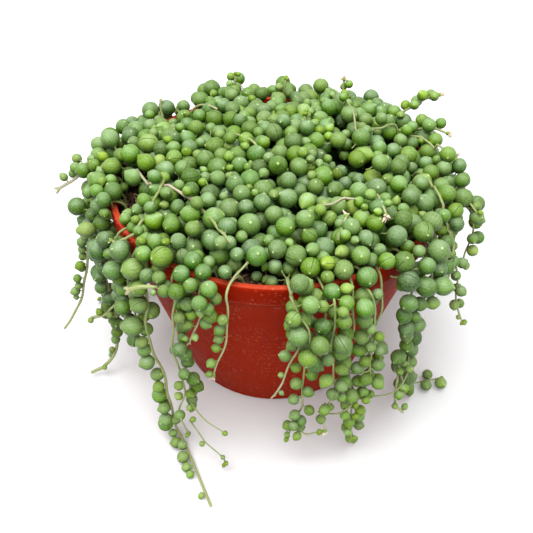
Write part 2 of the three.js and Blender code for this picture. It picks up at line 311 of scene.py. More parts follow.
leafLook = {
    "deep": (0.015, 0.048, 0.003), "middle": (0.058, 0.132, 0.012), "light": (0.140, 0.245, 0.030),
    "young": (0.320, 0.450, 0.060), "paleWaxAndHighlight": (0.340, 0.440, 0.270), "window": (0.008, 0.026, 0.006),
    "tip": (0.560, 0.620, 0.300), "ground": "deep", "tones": ("shade", "youth", "waxy"),
    "noises": {"cloudy": (260, 3), "mottled": (1500, 2), "stipple": (5200, 1)},
    "coats": [
        ("shade", (0.0, 0.5), "middle"), ("shade", (0.45, 1.0), "light"), ("youth", (0.85,), "young"),
        ("mottled", (0.4, 0.72, 0.0, 0.45), "light"), ("mottled", (0.5, 0.28, 0.0, 0.5), "deep"),
        # the up coat paints the undersides deep, painted shade
        ("up", (0.55, -0.6, 0.0, 0.85), "deep"), ("dusty", (0.7,), "paleWaxAndHighlight"),
        ("lines", (0.1, 1.0, 0.0, 0.18), "deep"), ("stripe", (), "window"),
        ("towardsTip", (0.988, 0.999, 0.0, 0.6), "tip"), ("towardsTip", (-0.93, -0.99, 0.0, 0.5), "young"),
        ("stipple", (0.58, 0.72, 0.0, 0.42), "paleWaxAndHighlight"),
    ],
    "lineCount": 17.0, "lineWander": 3.0, "stripeSides": (0.055, 0.02475), "stripeFrom": (0.12, 0.3),
    "stripeTo": (0.97, 0.85), "stripeOn": (0.72, 0.60, 0.0, 0.8), "highlightFacingSky": (0.1, 1.0),
    "waxClouds": (0.25, 0.8, 0.25, 1.0), "hues": (0.494, 0.512), "strengths": (0.92, 1.14),
    "roughness": ("mottled", (0.3, 0.7, 0.30, 0.48)),
    "bumps": [("mottled", 0.00012, 0.35), ("stipple", 0.00004, 0.35)],
    "even": {"Subsurface Weight": 0.1, "Subsurface Radius": (0.5, 1.0, 0.25), "Subsurface Scale": 0.0016,
             "IOR": 1.36, "Specular IOR Level": 0.35},
}


# A pale wax bloom lies on the sides that face the sky, thicker in clouds: partly the leaves' own wax and
# partly painted highlight. Faint lines run from base to tip, and some leaves have a dark clear window on one
# side.
def leafMasks(tree, masks):
    look, cloudy, waxy = leafLook, masks["cloudy"], masks["waxy"]
    spot = addNode(tree, "ShaderNodeAttribute", attribute_name="spot").outputs["Vector"]
    acrossX, acrossY, towardsTip = addNode(tree, "ShaderNodeSeparateXYZ", {"Vector": spot}).outputs
    normal = addNode(tree, "ShaderNodeNewGeometry").outputs["Normal"]
    up = addNode(tree, "ShaderNodeSeparateXYZ", {"Vector": normal}).outputs["Z"]
    # pale wax and painted highlight on the sides that face the sky
    dusty = product(tree, fade(tree, up, *look["highlightFacingSky"]), waxy, fade(tree, cloudy, *look["waxClouds"]))
    turn = product(tree, mathNode(tree, "ARCTAN2", acrossY, acrossX), look["lineCount"])
    wander = product(tree, cloudy, look["lineWander"])
    lines = mathNode(tree, "SINE", mathNode(tree, "ADD", turn, wander))
    stripe = product(
        tree, fade(tree, mathNode(tree, "ABSOLUTE", acrossY), *look["stripeSides"]),
        fade(tree, acrossX, *look["stripeFrom"]), fade(tree, towardsTip, *look["stripeTo"]),
        fade(tree, waxy, *look["stripeOn"]),
    )
    masks.update(towardsTip=towardsTip, up=up, dusty=dusty, lines=lines, stripe=stripe)


# edge is the height of the band's lower edge in metres.
potLook = {
    "red": (0.250, 0.012, 0.0003), "worn": (0.340, 0.036, 0.004), "deep": (0.190, 0.006, 0.0002),
    "lime": (0.450, 0.200, 0.120), "lip": (0.430, 0.050, 0.020), "ground": "red",
    "noises": {"broad": (26, 3), "grain": (3400, 2), "flecks": (1000, 3), "patches": (60, 2)},
    "coats": [
        ("broad", (0.3, 0.75, 0.0, 0.55), "deep"), ("streaks", (0.55, 0.8, 0.0, 0.28), "worn"),
        ("scuffs", (0.60, 0.82, 0.0, 0.22), "worn"), ("height", (0.0858, 0.0888, 0.0, 0.75), "deep"),
        # the lip colour on the top of the lip is painted light on the face that looks up
        ("height", (0.0947, 0.0950), "lip"), ("underEdge", (), "deep"), ("limed", (), "lime"),
    ],
    "edge": 0.0868, "specks": 430.0, "speck": (0.30, 0.12, 0.0, 0.6), "fleck": (0.55, 0.75, 0.0, 0.65),
    "patch": (0.38, 0.58, 0.1, 1.0), "limeShare": 0.45, "edgeHighlight": (0.0007, 0.0002, 0.0, 0.12),
    "edgeHighlightAt": 0.0003, "broken": (0.35, 0.6, 0.3, 1.0), "shadeFrom": 0.005, "shadeTo": 0.0005,
    "shadeEnd": 0.0004, "shadeShare": 0.8,
    "streaks": (420, 420, 22), "scuffs": (90, 90, 900),
    "roughness": ("rough", ()), "streakRoughness": (0.3, 0.8, 0.40, 0.58), "limeRoughness": 0.5,
    "bumps": [("broad", 0.0006, 0.25), ("grain", 0.00003, 0.35)],
    "even": {"IOR": 1.2, "Specular IOR Level": 0.08},
}


# Lime specks and flecks lie in patches, and a little of the lime colour lies along the band's lower edge,
# broken up in streaks, as a painted highlight. Under the edge lies a painted shadow.
def potMasks(tree, masks):
    look, edge = potLook, potLook["edge"]
    where = addNode(tree, "ShaderNodeTexCoord").outputs["Object"]
    height = addNode(tree, "ShaderNodeSeparateXYZ", {"Vector": where}).outputs["Z"]
    for source, detail in (("streaks", 4), ("scuffs", 5)):
        stretched = addNode(tree, "ShaderNodeMapping", {"Vector": where, "Scale": look[source]})
        masks[source] = noise(tree, 1.0, detail, stretched.outputs["Vector"])
    dots = {"Vector": where, "Scale": look["specks"], "Randomness": 1.0}
    specks = addNode(tree, "ShaderNodeTexVoronoi", dots).outputs["Distance"]
    dust = mathNode(tree, "MAXIMUM", fade(tree, specks, *look["speck"]),
                    fade(tree, masks["flecks"], *look["fleck"]))
    dust = product(tree, dust, fade(tree, masks["patches"], *look["patch"]), look["limeShare"])
    # a faint painted highlight along the band's lower edge
    fromEdge = mathNode(tree, "ABSOLUTE", mathNode(tree, "SUBTRACT", height, edge + look["edgeHighlightAt"]))
    broken = fade(tree, masks["streaks"], *look["broken"])
    limed = mathNode(tree, "MAXIMUM", dust, product(tree, fade(tree, fromEdge, *look["edgeHighlight"]), broken))
    # painted shadow just under the band's lower edge
    underEdge = product(tree, fade(tree, height, edge - look["shadeFrom"], edge - look["shadeTo"]),
                        fade(tree, height, edge, edge - look["shadeEnd"], 0.0, look["shadeShare"]))
    streaky = fade(tree, masks["streaks"], *look["streakRoughness"])
    rough = mathNode(tree, "ADD", streaky, product(tree, limed, look["limeRoughness"]))
    masks.update(height=height, limed=limed, underEdge=underEdge, rough=rough)


stemLook = {
    "green": (0.150, 0.220, 0.042), "pale": (0.270, 0.330, 0.100), "dry": (0.400, 0.345, 0.245),
    "dark": (0.090, 0.070, 0.035), "ground": "green", "tones": ("shade", "dryness"),
    "noises": {"long": (420, 3), "fine": (3200, 2)},
    "coats": [("shade", (0.0, 1.0), "pale"), ("dryness", (), "dry"), ("long", (0.55, 0.8, 0.0, 0.4), "dry"),
              ("fine", (0.52, 0.72, 0.0, 0.6), "dark")],
    "roughness": ("fine", (0.3, 0.7, 0.45, 0.7)), "bumps": [("fine", 0.0001, 0.5)],
    "even": {"Subsurface Weight": 0.08, "Subsurface Scale": 0.0008},
}
budLook = {
    "petal": (0.62, 0.45, 0.40), "husk": (0.60, 0.52, 0.36), "dark": (0.22, 0.12, 0.08), "ground": "petal",
    "noises": {"cloudy": (900, 3), "fine": (4200, 2)},
    "coats": [("cloudy", (0.35, 0.65), "husk"), ("fine", (0.55, 0.75, 0.0, 0.6), "dark")],
    "roughness": ("fine", (0.3, 0.7, 0.6, 0.85)), "bumps": [("fine", 0.0002, 0.6)], "even": {},
}
peatLook = {
    "deep": (0.005, 0.0035, 0.0025), "brown": (0.020, 0.011, 0.006), "crumb": (0.085, 0.045, 0.024),
    "ground": "deep", "noises": {"coarse": (220, 4), "grain": (1400, 4)},
    "coats": [("coarse", (0.35, 0.7), "brown"), ("grain", (0.58, 0.78, 0.0, 0.7), "crumb")],
    "roughness": ("coarse", (0.3, 0.7, 0.65, 0.95)),
    "bumps": [("coarse", 0.0012, 0.8), ("grain", 0.0005, 0.8)],
    "even": {"Specular IOR Level": 0.2},
}
fibreLook = {
    "straw": (0.600, 0.330, 0.160), "bark": (0.055, 0.025, 0.012), "ground": "bark", "tones": ("shade",),
    "noises": {"grain": (2600, 3)},
    "coats": [("shade", (0.3, 0.95), "straw"), ("grain", (0.45, 0.75, 0.0, 0.4), "bark")],
    "roughness": ("grain", (0.3, 0.7, 0.7, 0.9)), "bumps": [("grain", 0.0002, 0.6)], "even": {},
}
# The heart of the mound is painted shade, nearly black with a little green in clouds.
heartLook = {
    "dark": (0.004, 0.009, 0.001), "green": (0.012, 0.032, 0.003), "ground": "dark",
    "noises": {"cloudy": (340, 4)}, "coats": [("cloudy", (0.4, 0.7), "green")],
    "bumps": [("cloudy", 0.002, 0.8)], "even": {"Roughness": 0.9, "Specular IOR Level": 0.1},
}
floorLook = {
    "pale": (0.75, 0.75, 0.745), "shade": (0.73, 0.73, 0.73), "ground": "pale",
    "noises": {"broad": (3, 2)}, "coats": [("broad", (), "shade")], "bumps": [], "even": {"Roughness": 0.8},
}

leafSkin = makeSkin("waxyLeaf", leafLook, leafMasks)
stemSkin = makeSkin("stemSkin", stemLook)
budSkin = makeSkin("driedBud", budLook)
peatSkin = makeSkin("moistPeat", peatLook)
fibreSkin = makeSkin("peatFibre", fibreLook)
heartSkin = makeSkin("moundShade", heartLook)
floorSkin = makeSkin("paleFloor", floorLook)
potSkin = makeSkin("potPlastic", potLook, potMasks)
print("materials made")

# The pot is turned from one profile, with a band under its lip and holes drilled through its floor.
pot = {
    "height": 95, "rimRadius": 70, "lipWidth": 3, "bandHeight": 8.2, "bandStep": 1.8, "bandTaper": 0.5,
    "ledge": 0.4, "edge": 0.7, "baseRadius": 43.3, "baseChamfer": 1.2, "wall": 1.6, "floor": 2.2,
    "footLine": 2.6, "footSwell": 0.05, "footDepth": 0.35, "footEdge": 0.12, "footRise": 0.35,
    "footHeight": 0.8, "wallRings": (30, 55, 75), "cornerRound": 0.5, "cornerShare": 0.3,
    "drainHoles": 6, "drainRadius": 4, "drainCircle": 27, "drainSides": 28, "drillPast": 2,
    "sides": 144, "sharpFrom": 40,
}
lipInner = pot["rimRadius"] - pot["lipWidth"]
bandBottom = pot["height"] - pot["bandHeight"]
wallTop = pot["rimRadius"] - pot["bandStep"]
outside = [
    (0, 0),
    (pot["baseRadius"] - pot["baseChamfer"], 0),
    (pot["baseRadius"], pot["baseChamfer"]),
    (wallTop, bandBottom - pot["ledge"]),
    (pot["rimRadius"] - pot["bandTaper"], bandBottom),
    (pot["rimRadius"], pot["height"] - pot["edge"]),
    (pot["rimRadius"] - pot["edge"], pot["height"]),
]
inside = [
    (lipInner, pot["height"]),
    (wallTop - pot["wall"], bandBottom - pot["wall"]),
    (pot["baseRadius"] - pot["wall"], pot["floor"]),
    (0, pot["floor"]),
]


def wallRadius(low, high, height):
    return lerp(low[0], high[0], (height - low[1]) / (high[1] - low[1]))


def outerRadius(height):
    return wallRadius(outside[2], outside[3], height)


def innerRadius(height):
    return wallRadius(inside[2], inside[1], height)


# Distance from a point to the pot's skin, in the plane through the pot's axis.
def distanceToPot(point):
    here = Vector((reachOf(point), point.z))
    skin = [Vector(p) for p in (*outside, *inside)]
    nearest = math.inf
    for a, b in zip(skin, skin[1:]):
        along = b - a
        share = clamp((here - a).dot(along) / along.length_squared)
        nearest = min(nearest, (a + along * share - here).length)
    return nearest


# Each corner of the profile becomes a small round of three points.
def rounded(profile, size, share):
    soft = [profile[0]]
    for a, b, c in zip(*[[Vector(p) for p in profile[k:]] for k in range(3)]):
        cut = min(size, share * (b - a).length, share * (c - b).length)
        first = b + (a - b).normalized() * cut
        last = b + (c - b).normalized() * cut
        soft.extend([tuple(first), tuple((first + last + 2 * b) / 4), tuple(last)])
    soft.append(profile[-1])
    return soft


def makePot():
    foot, end = pot["footLine"], pot["footLine"] + pot["footHeight"]
    profile = [
        *outside[:3],
        (outerRadius(foot) + pot["footSwell"], foot),
        (outerRadius(foot) - pot["footDepth"] + pot["footEdge"], foot + pot["footRise"]),
        *[(outerRadius(height), height) for height in (end, *pot["wallRings"])],
        *outside[3:],
        *inside,
    ]
    pile = newPile()
    addToPile(pile, *turned(rounded(profile, pot["cornerRound"], pot["cornerShare"]), pot["sides"]))
    piece = makePiece("pot_shell", pile, [potSkin])
    cutters = []
    ends = (-pot["drillPast"], pot["floor"] + pot["drillPast"])
    for i in range(pot["drainHoles"]):
        line = [place(360 * i / pot["drainHoles"], pot["drainCircle"], height) for height in ends]
        drill = newPile()
        addToPile(drill, *tube(line, [pot["drainRadius"]] * 2, pot["drainSides"]))
        cutters.append(makePiece("drill", drill, [potSkin]))
        cut = piece.modifiers.new("drain", "BOOLEAN")
        cut.operation = "DIFFERENCE"
        cut.object = cutters[-1]
        cut.solver = "EXACT"
    bpy.context.view_layer.update()
    evaluated = piece.evaluated_get(bpy.context.evaluated_depsgraph_get())
    whole = bpy.data.meshes.new_from_object(evaluated)
    piece.modifiers.clear()
    piece.data = whole
    for cutter in cutters:
        bpy.data.objects.remove(cutter)
    piece.data.set_sharp_from_angle(angle=math.radians(pot["sharpFrom"]))
    settle(piece, "pot", "pot")


makePot()
print("pot made")

# The peat is a crumbly fill, with fibres and bark chips that lie on it near the rim.
soil = {
    "top": 87, "gap": 0.4, "crumbs": 1.3, "rings": 34, "sides": 132, "shoulder": 85, "waist": 45, "seed": 41,
    "bareSpots": [(-77, 62), (-11, 60)], "spotShare": 0.3, "spotSize": (14, 8),
    "edgeRound": (0.3, 0.6), "ringCrowd": 1.25, "calmEdge": 0.5, "calmBelow": 1, "crumbSpread": 0.9,
    "fibres": 260, "fibreRing": (52, 63.5), "fibreLength": (3, 8), "farthest": 64,
    "fibreThick": (0.16, 0.40), "fibreTaper": (0.5, 0.6), "fibreSides": 5, "fibreStep": 1.0,
    "fibreLift": 0.8, "fibreHeap": 1.2, "fibreLevel": 0.25, "fibreBend": 0.64,
    "chips": 130, "chipRing": (50, 64), "chipSize": (0.8, 2.2), "chipLift": 0.5, "chipPale": 0.5,
    "chipShape": [(1, 0.5), (0.55, 0.6), (0.3, 0.6)],  # share of the size along each axis, and its spread
}


def peatHeight(x, y):
    rough = math.sin(x / 3.1 + 1.3) * math.cos(y / 2.7)
    rough += 0.6 * math.sin((x + y) / 1.7) * math.cos((x - y) / 2.1 + 2)
    return soil["top"] + 0.5 * soil["crumbs"] * rough + 0.5 * math.sin(x / 11) * math.cos(y / 9)


def makePeat():
    random = makeRandom(soil["seed"])
    gap, top = soil["gap"], soil["top"]
    low = pot["floor"] + gap
    edge = innerRadius(soil["shoulder"]) - gap

    def crumble(point):
        if point.z > top - soil["calmBelow"] and reachOf(point) < edge - soil["calmEdge"]:
            point.z = peatHeight(point.x, point.y) + jitter(random, soil["crumbSpread"])
        return point

    across, down = soil["edgeRound"]
    profile = [(0, low), *[(innerRadius(z) - gap, z) for z in (low, soil["waist"], soil["shoulder"])]]
    profile.append((edge - across, top - down))
    for i in range(1, soil["rings"]):
        profile.append((edge * (1 - (i / soil["rings"]) ** soil["ringCrowd"]), top))
    pile = newPile()
    addToPile(pile, *turned([*profile, (0, top)], soil["sides"], crumble))
    settle(makePiece("peat_fill", pile, [peatSkin], smooth=False), "peat", "soil")

    # many bits lie where the peat shows between the leaves
    def scatter(ring, lift):
        if random() < soil["spotShare"]:
            azimuth, radius = soil["bareSpots"][int(2 * random())]
            width, depth = soil["spotSize"]
            at = place(azimuth + jitter(random, width), radius + jitter(random, depth), 0)
        else:
            at = place(360 * random(), lerp(*ring, random()), 0)
        at.z = peatHeight(at.x, at.y) + lift
        return at

    bits = newPile()
    least, more = soil["fibreTaper"]
    for i in range(soil["fibres"]):
        at = scatter(soil["fibreRing"], soil["fibreLift"])
        at.z += soil["fibreHeap"] * random()
        heading = randomDirection(random)
        heading.z *= soil["fibreLevel"]
        heading.normalize()
        bend = randomDirection(random) * soil["fibreBend"]
        half = heading * lerp(*soil["fibreLength"], random()) / 2
        ends = [at - half, at + bend, at + half]
        for end in ends:
            off = max(1, reachOf(end) / soil["farthest"])
            end.x, end.y = end.x / off, end.y / off
            end.z = max(end.z, peatHeight(end.x, end.y))
        line, _ = smoothLine(ends, soil["fibreStep"])
        thick = lerp(*soil["fibreThick"], random())
        swells = [math.sin(math.pi * (k + 0.5) / len(line)) for k in range(len(line))]
        radii = [thick * (least + more * swell) for swell in swells]
        addToPile(bits, *tube(line, radii, soil["fibreSides"]), (random(), 0, 0))
    for i in range(soil["chips"]):
        at = scatter(soil["chipRing"], soil["chipLift"])
        size = lerp(*soil["chipSize"], random())
        axes = Quaternion(randomDirection(random), 2 * math.pi * random()).to_matrix()
        corners = []
        for signs in ((x, y, z) for x in (-1, 1) for y in (-1, 1) for z in (-1, 1)):
            local = [sign * size * wide * about(random, spread)
                     for sign, (wide, spread) in zip(signs, soil["chipShape"])]
            corners.append(at + axes @ Vector(local))
        sides = [(0, 1, 3, 2), (4, 6, 7, 5), (0, 4, 5, 1), (2, 3, 7, 6), (0, 2, 6, 4), (1, 5, 7, 3)]
        addToPile(bits, corners, sides, (soil["chipPale"] * random(), 0, 0))
    settle(makePiece("peat_fibres", bits, [fibreSkin], smooth=False), "peat")


makePeat()
print("peat made")

# Every leaf is a ball with a tip and a low foot. A young one has a longer and wider tip.
leaf = {
    "sides": 16, "polar": (0.0, 0.09, 0.2, 0.38, 0.65, 0.95, 1.25, 1.57, 1.9, 2.25, 2.6, 2.92, math.pi),
    "tips": {"grown": (0.07, 0.16), "pointed": (0.20, 0.30), "young": (0.24, 0.42)},  # length and width
    "foot": (0.02, 0.5), "squeeze": 0.965, "looseSqueeze": 0.8, "stretch": 0.12,
    "potGap": 0.97, "wallGap": 0.5, "groundGap": 0.1,
    "restShare": 1.02, "peatSink": 1, "stemBelow": 1,
    "youngBelow": (3.0, 1.6, 0.55), "paleShare": 0.05, "paleYouth": 0.7, "youthSpread": 0.18,
    "youngShape": 0.4, "shadeSpread": 0.7, "waxy": (0.25, 1.0),
}


# Points and faces of a leaf of radius 1 that points up, and where each point is on the plain ball.
def leafTemplate(tip, width):
    foot, footWidth = leaf["foot"]
    sides, rings = leaf["sides"], len(leaf["polar"]) - 2
    points, spots, faces = [], [], []
    for polar in leaf["polar"]:
        reach = 1 + tip * math.exp(-((polar / width) ** 2))
        reach += foot * math.exp(-((math.pi - polar) / footWidth) ** 2)
        onAxis = polar in (0.0, math.pi)
        for i in range(1 if onAxis else sides):
            turn, flat = 2 * math.pi * i / sides, 0.0 if onAxis else math.sin(polar)
            spot = Vector((flat * math.cos(turn), flat * math.sin(turn), math.cos(polar)))
            spots.append(tuple(spot))
            points.append(spot * reach)
    last = 1 + (rings - 1) * sides
    for i in range(sides):
        j = (i + 1) % sides
        faces.append((0, 1 + i, 1 + j))
        faces.append((last + sides, last + j, last + i))
        for a in range(1, last, sides):
            faces.append((a + i, a + sides + i, a + sides + j, a + j))
    return points, spots, faces


leafShapes = {name: leafTemplate(*tip) for name, tip in leaf["tips"].items()}


# at is where a leaf leaves its stem, and heaped tells those of the heap from those given one by one.
def newLeaf(centre, radius, axis, young, tone, shape="grown", at=None, heaped=False):
    return {"centre": centre, "radius": radius, "axis": axis, "tone": tone,
            "shape": "young" if young > leaf["youngShape"] else shape, "at": at, "heaped": heaped}


def addLeaf(pile, pearl, random):
    points, spots, faces = leafShapes[pearl["shape"]]
    centre, radius, axis = pearl["centre"], pearl["radius"], pearl["axis"]
    spin = Quaternion(axis, 2 * math.pi * random())
    turn = (spin @ Vector((0, 0, 1)).rotation_difference(axis)).to_matrix()
    stretch = about(random, leaf["stretch"])
    form = turn @ Matrix.Diagonal((1 / math.sqrt(stretch), 1 / math.sqrt(stretch), stretch))
    addToPile(pile, [centre + form @ p * radius for p in points], faces, pearl["tone"], spots)


# Small leaves are young and bright, and so are a few of the others.
def leafTone(random, radius, shade):
    grown, span, most = leaf["youngBelow"]
    young = clamp((grown - radius) / span) * most
    young += leaf["paleYouth"] if random() < leaf["paleShare"] else 0.0
    shade = clamp(shade + jitter(random, leaf["shadeSpread"]))
    youth = min(1.0, young + leaf["youthSpread"] * random())
    return min(1.0, young), (shade, youth, lerp(*leaf["waxy"], random()))


# Leaves are kept in boxes of space, so that each new one meets only its neighbours.
boxSize = 11
taken = {}


def boxOf(point):
    return tuple(math.floor(v / boxSize) for v in point)


def occupy(centre, radius, owner):
    taken.setdefault(boxOf(centre), []).append((centre, radius, owner))


def neighbours(x, y, levels):
    i, j, _ = boxOf((x, y, 0))
    for level in levels:
        for di in (-1, 0, 1):
            for dj in (-1, 0, 1):
                yield from taken.get((i + di, j + dj, level), ())


# Azimuths between which the rim shows between the leaves, and how far out and up it stays clear.
bareRim = {"spans": [(-19, 8), (36, 43)], "outer": 73, "top": 112}

# Openings in the leaves, seen from the front and above: azimuth, distance from the axis, height, half width.
# Through the clear ones the background shows, so nothing is behind them either.
openings = [
    [-69.5, 69, 95, 1], [-67, 69, 95, 1.1], [-64, 69, 95, 1.1], [-60.5, 69, 95, 1], [-53, 69, 95, 1.1],
    [-49, 70, 95, 1.1], [-80, 65, 89, 2], [-83, 61, 90, 2], [-76, 63.5, 89, 2.2], [-71, 63.5, 89, 1.6],
    [-13, 58, 89, 1.6], [-9.5, 60, 89, 2], [53, 70, 95, 0.6], [74, 70, 95, 0.4], [97.5, 28, 101, 1.3],
    [110, 26.5, 102, 0.8], [83, 31, 101, 0.5], [18, 29, 98, 1.1], [138, 42, 104, 0.3],
    [-58, 43, 100, 0.7], [-86, 65, 96, 0.4], [-135, 69, 95, 0.8], [-175, 66, 95, 1], [175, 67, 95, 0.8],
    [1.5, 70, 93, 1.6], [2, 70, 87, 1.6], [2, 70, 81, 1.4],
]
clearOpenings = [
    [32.5, 77, 97, 1.8], [33, 77, 91, 2.1], [33, 77, 85, 2.2], [32.5, 77, 79, 2.2], [32.5, 77, 73, 2],
    [67, 80, 88, 1.8], [71.5, 81, 77, 2], [70.5, 85, 67, 2], [-31, 80, 76, 1.4], [-31, 80, 70, 1.8],
    [-31.5, 80, 62, 2], [-31.5, 80, 52, 1.9], [-31, 80, 41, 1.6], [-31, 80, 33, 1.3],
]
eye = Vector((0, -257, 271))


def hidesOpening(centre, radius):
    for places, clear in ((openings, False), (clearOpenings, True)):
        for azimuth, reach, height, clearance in places:
            spot = place(azimuth, reach, height)
            towards = (eye - spot).normalized()
            along = (centre - spot).dot(towards)
            if clear or along > 0:
                if (centre - spot - towards * along).length < radius + clearance:
                    return True
    return False


def nearBareRim(point, radius):
    if hidesOpening(point, radius):
        return True
    reach = reachOf(point)
    if reach + radius < lipInner + 0.3 or reach - radius > bareRim["outer"] or point.z > bareRim["top"]:
        return False
    return any(low < azimuthOf(point.x, point.y) < high for low, high in bareRim["spans"])


def isClear(centre, radius, owner, squeeze):
    if distanceToPot(centre) < radius * leaf["potGap"]:
        return False
    reach = reachOf(centre)
    if reach < lipInner and centre.z - radius < soil["top"] - leaf["peatSink"]:
        return False
    if reach < outerRadius(min(centre.z, bandBottom)) + radius * leaf["wallGap"] and centre.z < bandBottom:
        return False
    if centre.z - radius * leaf["restShare"] < leaf["groundGap"]:
        return False
    level = boxOf(centre)[2]
    for other, otherRadius, otherOwner in neighbours(centre.x, centre.y, range(level - 1, level + 2)):
        ownStem = otherRadius < leaf["stemBelow"] and otherOwner == owner
        if not ownStem and (other - centre).length < (radius + otherRadius) * squeeze:
            return False
    return True


# How a stem leaves the peat and crosses the rim, how it hangs, and how its leaves stand on it.
strand = {
    "rootRadius": 63.2, "rootDepth": 80, "rootTop": 88.6,
    "crest": [(63.4, 92.6), (65.4, 96.6), (69.9, 98.0), (74.4, 95.2)],
    "sides": 7, "step": 1.2, "guideStep": 1.5, "guideRadius": 0.7,
    "wander": 0.9, "damped": 0.6, "calmLength": 12, "swayAbove": 5, "waves": [(7, 3.1), (8, 3.7)],
    "fineWave": 0.6,
    "firstLeaf": 4, "looseLeaf": 1.5, "petiole": (0.2, 1.2), "rimPetiole": (0.3, 3.2), "rimEnd": 30,
    "petioleBias": 1.6, "standing": (0.3, 0.9), "hanging": (1, 0.35),  # how far out and up leaves point
    "rimGap": 0.5, "rimLean": (10, 160), "taper": 0.9, "spread": 0.3, "gapSpread": 0.45,
    "onLeaves": 95, "onGround": 4.5, "droop": 0.12, "off": 0.4, "seat": 0.96, "rest": (1.08, 0.2),
    "axisSpread": 0.35, "thickSpread": 0.16, "paler": 0.5, "drier": (0.6, 0.8), "footIn": 0.9,
    "shortest": 0.5, "stalkThick": (0.2, 0.04),
    "shadeAlong": 0.1, "shadeAcross": 0.0012,
    "bareSize": 0.6, "bareGap": 2.2, "turns": (0, 18, -22, 40, -45, 70), "sizes": (1, 0.85, 0.7),
    "pointedBelow": 88, "pointedShare": 0.6, "seed": 500, "fineSeed": 900, "looseSeed": 1300, "seedStep": 13,
}


# A stem: azimuth of its root, or none for a loose one, its way as azimuths, distances from the pot's axis
# and heights, the distance between its leaves and the radius of the first and the last. thick is its own
# radius at both ends, lean how far its leaves turn round it, bare the share of its end with few leaves, stop
# where they end, side keeps them on one side, light shifts the shade of their leaves, painted light where it
# is above zero and painted shade below, dry and pale colour the stem, tip is what it ends in, and a draped
# one follows the leaves below it.
def stem(azimuth, way, gap, first, last, **changes):
    usual = {"thick": (0.52, 0.38), "lean": (30, 95), "bare": 0, "stop": 1, "side": 0, "light": 0,
             "dry": 0.1, "pale": 0.25, "tip": "buds", "draped": False}
    return {**usual, "azimuth": azimuth, "way": way, "gap": gap, "first": first, "last": last, **changes}


trailing = [
    stem(-97, [[-93, 80, 98], [-91, 86, 92], [-90, 93, 87]], 4.6, 3, 1.9, lean=(-10, 20), thick=(0.65, 0.7),
         dry=0.6, tip="fork"),
    stem(-85, [[-85, 78.5, 78], [-85, 81, 66], [-85, 85, 52], [-85, 89.5, 37], [-85, 95, 21],
               [-85.5, 103, 8]], 4.2, 3, 1.7, stop=0.8, lean=(-30, 30), thick=(0.66, 0.62), light=0.1,
         tip="blunt"),
    stem(-70, [[-70, 76.5, 78], [-70, 76, 58], [-70, 75.5, 38], [-70, 76, 20], [-70, 82, 7], [-70, 91, 3]],
         2.8, 3.9, 2, bare=0.24, light=-0.5, thick=(0.5, 0.8), tip="blunt"),
    stem(-54, [[-53, 75.5, 80], [-52.5, 74.5, 62], [-52, 74, 44]], 2.9, 4, 2.6, light=-0.42),
    stem(-39, [[-38.5, 77, 80], [-39.5, 77, 64], [-37.5, 77, 50], [-35, 77, 34], [-33, 76.5, 16],
               [-30.5, 77.5, 5], [-24, 84, 2.6], [-18, 93, 2.4], [-13.5, 102, 2.4]], 4.3, 4.4, 2.5, bare=0.13,
         side=1, lean=(45, 95), light=0.75, thick=(0.55, 0.6), tip="blunt"),
    stem(-28, [[-29, 75, 78], [-28.5, 74, 60], [-27.5, 74, 42], [-27, 73.5, 22]], 4.8, 3.2, 2.4, side=-1,
         light=-0.3),
    stem(-19, [[-20, 76, 88], [-21.5, 76.5, 78], [-24, 77, 68]], 3, 4.1, 2, light=0.2, bare=0.16, dry=0.4,
         tip="fork"),
    stem(-9.5, [[-13, 74, 88], [-13.5, 74, 74], [-15, 74, 62], [-18, 74.5, 50]], 6.4, 3.1, 1.5, side=1,
         dry=0.3, pale=0.9, light=0.05, tip="flower"),
    stem(3, [[6, 77, 88], [7, 77, 78], [6, 76.5, 66], [3.5, 76, 55], [1, 76, 46]], 4.4, 3.7, 1.8, bare=0.2,
         dry=0.4, tip="fork"),
    stem(13.5, [[14, 76, 84], [12.5, 76, 72], [9.5, 76, 60], [9, 76, 46], [8, 75, 31], [5.5, 74.5, 15]],
         4.4, 3.9, 1.9, bare=0.06),
    stem(23.5, [[21.5, 77, 84], [22, 77, 68], [23, 77, 53], [25, 76.5, 36], [26, 76, 20], [28, 76.5, 5]],
         4.3, 4, 2),
    stem(32, [[31, 75.5, 86], [30.5, 75, 70], [30.5, 75, 56], [31, 75, 42]], 4.4, 3.8, 2.3, lean=(30, 70)),
    stem(42.5, [[41, 77, 84], [42.5, 76, 70], [45, 75, 54], [48, 74, 36], [54, 72.5, 18], [60, 73, 6],
                [65, 78, 3.4], [69, 85, 3]], 3.7, 4, 2.4, light=-0.25),
    stem(52.5, [[52, 76, 86], [51.5, 76, 74]], 3.2, 4.7, 3.9, light=-0.1),
    stem(64, [[65, 77, 88], [65, 79.5, 78], [65, 83, 68], [65, 85, 56], [65, 88.5, 48]], 3.6, 3.9, 1.6,
         bare=0.1),
    stem(76.5, [[77, 81, 92], [77, 83.5, 80], [77, 83, 66]], 3.2, 4.1, 2.7),
]

# The stems of the far side, which the photograph doesn't show, follow one rule. Some run along the ground.
farSide = {
    "from": 89, "to": 252, "count": 12,
    "drops": [36, 62, 90, 48, 90, 28, 72], "runs": [0, 0, 26, 0, 18, 0, 0],
    "dropSpread": 0.12, "level": 17, "radius": 76, "radiusSway": 1.6, "sway": 2.2, "landing": 7, "lying": 3,
    "runStep": 8.5, "runTurn": 3, "gap": 3.1, "first": 4.1, "last": 2.2, "height": 95, "seed": 21,
}


